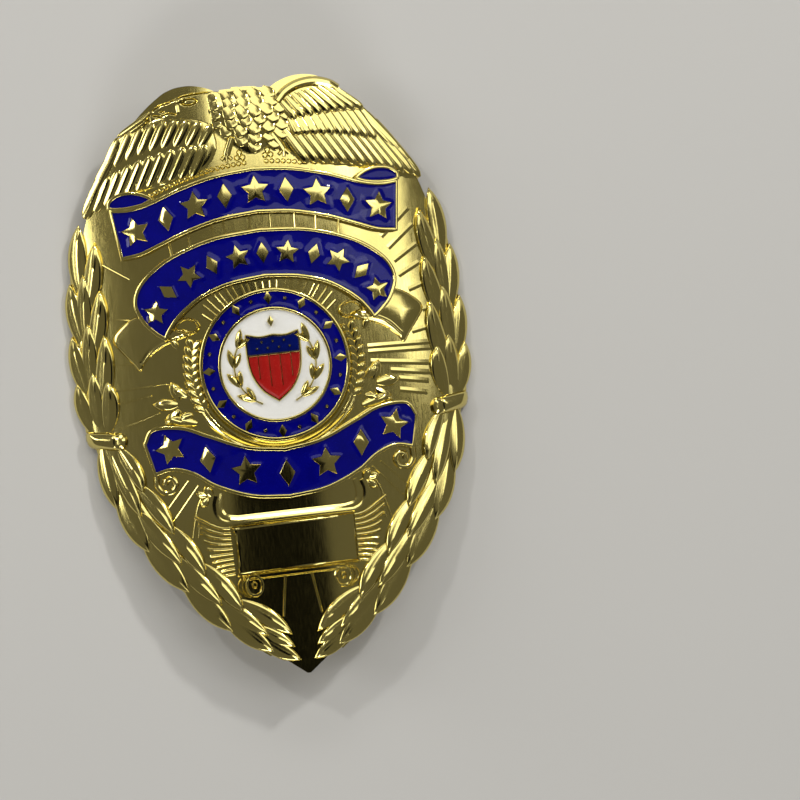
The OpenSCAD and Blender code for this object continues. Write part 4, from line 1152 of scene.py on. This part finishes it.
def prism(outer, inner, axis, start, stop, bevel=0.08):
    """Sections of a plate between an outer and an inner line, its edges bevelled, from start to
    stop along x, which is axis 0, or along y."""
    middle = (outer + inner) / 2

    def shrunk(line):
        d = middle - line
        return line + d / np.maximum(np.linalg.norm(d, axis=1), 1e-6)[:, None] * bevel

    rings = [(shrunk(outer), start), (outer, start + bevel), (outer, stop - bevel), (shrunk(outer), stop),
             (shrunk(inner), stop), (inner, stop - bevel), (inner, start + bevel), (shrunk(inner), start)]
    return [[np.insert(line[i], axis, place) for line, place in rings] for i in range(len(outer))]


def oval_plate(centre_y, length, width, under, thick, bevel=0.2):
    """A plate with round ends against the wall's back, its length along x."""
    half, r = (length - width) / 2, width / 2
    ring = np.vstack([arc(r, -90, 90, 17, (half, centre_y)), arc(r, 90, 270, 17, (-half, centre_y))])
    centre = np.array([0, centre_y])
    levels = [(1 - bevel / r, under - thick), (1, under - thick + bevel), (1, under + PLATE_SINK)]
    return loft([raised(centre + (ring - centre) * share, z) for share, z in levels])


def hinge_bracket():
    """A plate, two ears that rise straight to it, and the stop beside them."""
    y0 = (HINGE_Y - MID_Y) * TO_H
    under = face_height(0, HINGE_Y) - METAL
    foot = under - EAR_END
    turns = np.radians(np.linspace(0, 360, 49)[:-1])
    inner, outer = (oval((y0, PIN_Z), (r, r), turns) for r in (RIVET_HOLE, EAR_R))
    rising = np.sin(turns) > 0.02
    side, rise = np.cos(turns[rising]), np.sin(turns[rising])
    outer[rising, 1] = foot
    outer[rising, 0] = y0 + EAR_R * np.sign(side) * np.minimum(
        1, np.abs(side) / np.maximum(rise, 1e-6) * (foot - PIN_Z) / EAR_R)
    gap, x = EAR_GAP / 2, EAR_GAP / 2 + EAR_T
    ears = [loft(prism(outer, inner, 0, *ends), closed=True) for ends in ((-x, -gap), (gap, x))]
    near, far = y0 - EAR_R + 0.1, y0 - EAR_R - 0.7
    stop = loft([raised([(-x, far), (x, far), (x, near), (-x, near)], z) for z in (PIN_Z + 1.2, foot)])
    soldered("hinge_bracket", oval_plate(y0, 8, 4.2, under, 0.65), *ears, stop)


def catch_housing():
    """A plate with two slotted rings, joined to it by posts."""
    mid = (sum(RING_Y) + RING_T) / 2
    under = face_height(0, mid) - METAL
    half_slot = math.degrees(math.asin(SLOT / 2 / CATCH_R))
    turns = np.radians(np.linspace(-90 + half_slot, 270 - half_slot, 61))
    inner, outer = (oval((0, PIN_Z), (r, r), turns) for r in (CATCH_R - RING_WALL, CATCH_R))
    post = (np.abs(outer[:, 0]) < POST_HALF) & (outer[:, 1] > PIN_Z)
    outer[post, 1] = under - POST_END
    starts = [(y - MID_Y) * TO_H for y in RING_Y]
    rings = [loft(prism(outer, inner, 1, start, start + RING_T, 0.06)) for start in starts]
    soldered("catch_housing", oval_plate((mid - MID_Y) * TO_H, 6.4, 4.8, under, 0.4), *rings)


# The whole badge

def build():
    """Every piece: the gold relief, the enamels, the wall under them and the soldered findings. The
    rivet, the pin and the catch's drum keep their solids, in the wire's gold."""
    parts = {"ribbon_gold": ribbons(), "ribbon_tails": ribbon_tails(), "seal_gold": seal(),
             "seal_surround": seal_surround(), "eagle_gold": eagle(), "rays": rays(), "plaque": plaque()}
    parts["laurel_leaves"], parts["laurel_ties"] = laurel()
    wall = drawn_piece("struck_wall", struck_wall(joined(*parts.values())), GOLD)
    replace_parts(wall, "shield")
    for name, solid in parts.items():
        drawn_piece(name, solid, GOLD, sharp=4 if name == "rays" else 35)
    hinge_bracket()
    catch_housing()
    for name in ("hinge_rivet", "pin_stem", "catch_roller"):
        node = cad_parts[name]
        node.data.materials.clear()
        node.data.materials.append(PIN_GOLD)


build()


# Floor, light and camera

# The photo: pixels to the millimetre on the badge, its width and height in pixels, the seal's centre
# in it, and how far the badge's top leans to the left, in degrees
PX_PER_MM, PHOTO, SEAL_PX, AXIS_TURN = 7.557, 800, (275, 364.5), 6.6
# The camera: distance in millimetres, and how many degrees it stands to the right of the badge and
# towards its foot
DISTANCE, VIEW_SIDE, VIEW_FOOT = 600, -5.0, 2.0
# The way to the middle of the room's dark disc, the cosines at its edge, and the room's colours
DARK_SPOT, DISC_EDGE = (-0.0172, -0.1564, 0.9875), (0.957, 0.965)
HORIZON, OVERHEAD, DISC = "#6A6862", "#67655F", "#0E0E0D"


def stage(half=2.0):
    """A plain pale floor, half its width in metres."""
    material, tree = new_material("pale_floor")
    shader = add(tree, "ShaderNodeBsdfPrincipled", {"Base Color": linear("#C9C7C2"), "Roughness": 0.75})
    add(tree, "ShaderNodeOutputMaterial", {"Surface": shader.outputs["BSDF"]})
    corners = [(-half, -half, 0), (half, -half, 0), (half, half, 0), (-half, half, 0)]
    mesh = new_mesh("floor", corners, [(0, 1, 2, 3)])
    mesh.materials.append(material)
    in_scene("floor", mesh)


def facing(right, up, back, place):
    """The matrix of a lamp or a camera from its three axes and its place."""
    return Matrix([*zip(right, up, back, place), (0, 0, 0, 1)])


def light(name, right, up, distance, size, power):
    """A soft box that looks at the badge: how far it leans from overhead to the right and towards
    the badge's top, in degrees, its distance, its size across and up, and its power in watts."""
    away = Vector((math.tan(math.radians(right)), math.tan(math.radians(up)), 1)).normalized()
    across = (Vector((1, 0, 0)) - away * away.x).normalized()
    data = bpy.data.lights.new(name, "AREA")
    data.shape = "RECTANGLE"
    data.size, data.size_y = size
    data.energy = power
    place = [c * distance for c in away]
    in_scene(name, data).matrix_world = facing(across, away.cross(across), away, place)


def studio_world():
    """An even grey room with a near-black disc overhead, about 16 degrees in radius, which the
    plaque and the point mirror."""
    world = bpy.data.worlds.new("studio")
    world.use_nodes = True
    tree = world.node_tree
    tree.nodes.clear()
    way = add(tree, "ShaderNodeTexCoord").outputs["Generated"]
    up = add(tree, "ShaderNodeSeparateXYZ", {"Vector": way}).outputs["Z"]
    rise = add(tree, "ShaderNodeMapRange", {"Value": up, "From Min": 0.1, "From Max": 0.7})
    toward = add(tree, "ShaderNodeVectorMath", {0: way, 1: DARK_SPOT}, operation="DOT_PRODUCT")
    within = add(tree, "ShaderNodeMapRange", {"Value": toward.outputs["Value"],
                 "From Min": DISC_EDGE[0], "From Max": DISC_EDGE[1]})
    high = add(tree, "ShaderNodeMix", {"Factor": within.outputs["Result"], 6: linear(OVERHEAD),
               7: linear(DISC)}, data_type="RGBA")
    tone = add(tree, "ShaderNodeMix", {"Factor": rise.outputs["Result"], 6: linear(HORIZON),
               7: high.outputs[2]}, data_type="RGBA")
    glow = add(tree, "ShaderNodeBackground", {"Color": tone.outputs[2], "Strength": 1.0})
    add(tree, "ShaderNodeOutputWorld", {"Surface": glow.outputs["Background"]})
    bpy.context.scene.world = world


def camera():
    """Seen from above, turned as in the photo, with the seal at its place in the frame."""
    seal_at = Vector((0, -MID_Y * TO_H * MM, CROWN * MM))
    data = bpy.data.cameras.new("camera")
    data.sensor_width = 36
    data.lens = data.sensor_width * DISTANCE * PX_PER_MM / PHOTO
    data.clip_start = 0.01
    back = Vector((math.sin(math.radians(VIEW_SIDE)), -math.sin(math.radians(VIEW_FOOT)), 1)).normalized()
    up = Vector((math.sin(math.radians(AXIS_TURN)), math.cos(math.radians(AXIS_TURN)), 0))
    right = up.cross(back).normalized()
    up = back.cross(right).normalized()
    away = (SEAL_PX[0] - PHOTO / 2) / PX_PER_MM * MM, (PHOTO / 2 - SEAL_PX[1]) / PX_PER_MM * MM
    place = seal_at - right * away[0] - up * away[1] + back * DISTANCE * MM
    bpy.context.scene.camera = in_scene("camera", data)
    bpy.context.scene.camera.matrix_world = facing(right, up, back, place)


stage()
light("window", 43.5, 17.5, 0.55, (0.2, 0.14), 0.14)
light("near_window", 15.5, 23.5, 0.55, (0.5, 0.19), 0.55)
light("sun_patch", 52, 6.6, 0.6, (0.075, 0.052), 0.025)
light("lamp_right", 39.5, 44.5, 0.8, (0.06, 0.06), 1.8)
light("lamp_left", -36.5, 43, 0.8, (0.045, 0.045), 0.9)
light("top", -3, 58, 0.6, (0.5, 0.12), 0.6)
light("left", -69, 43, 0.6, (0.16, 0.4), 1.2)
light("foot", -9, -62, 0.6, (0.4, 0.1), 1.1)
studio_world()
bpy.context.scene.view_settings.view_transform = "Standard"
camera()
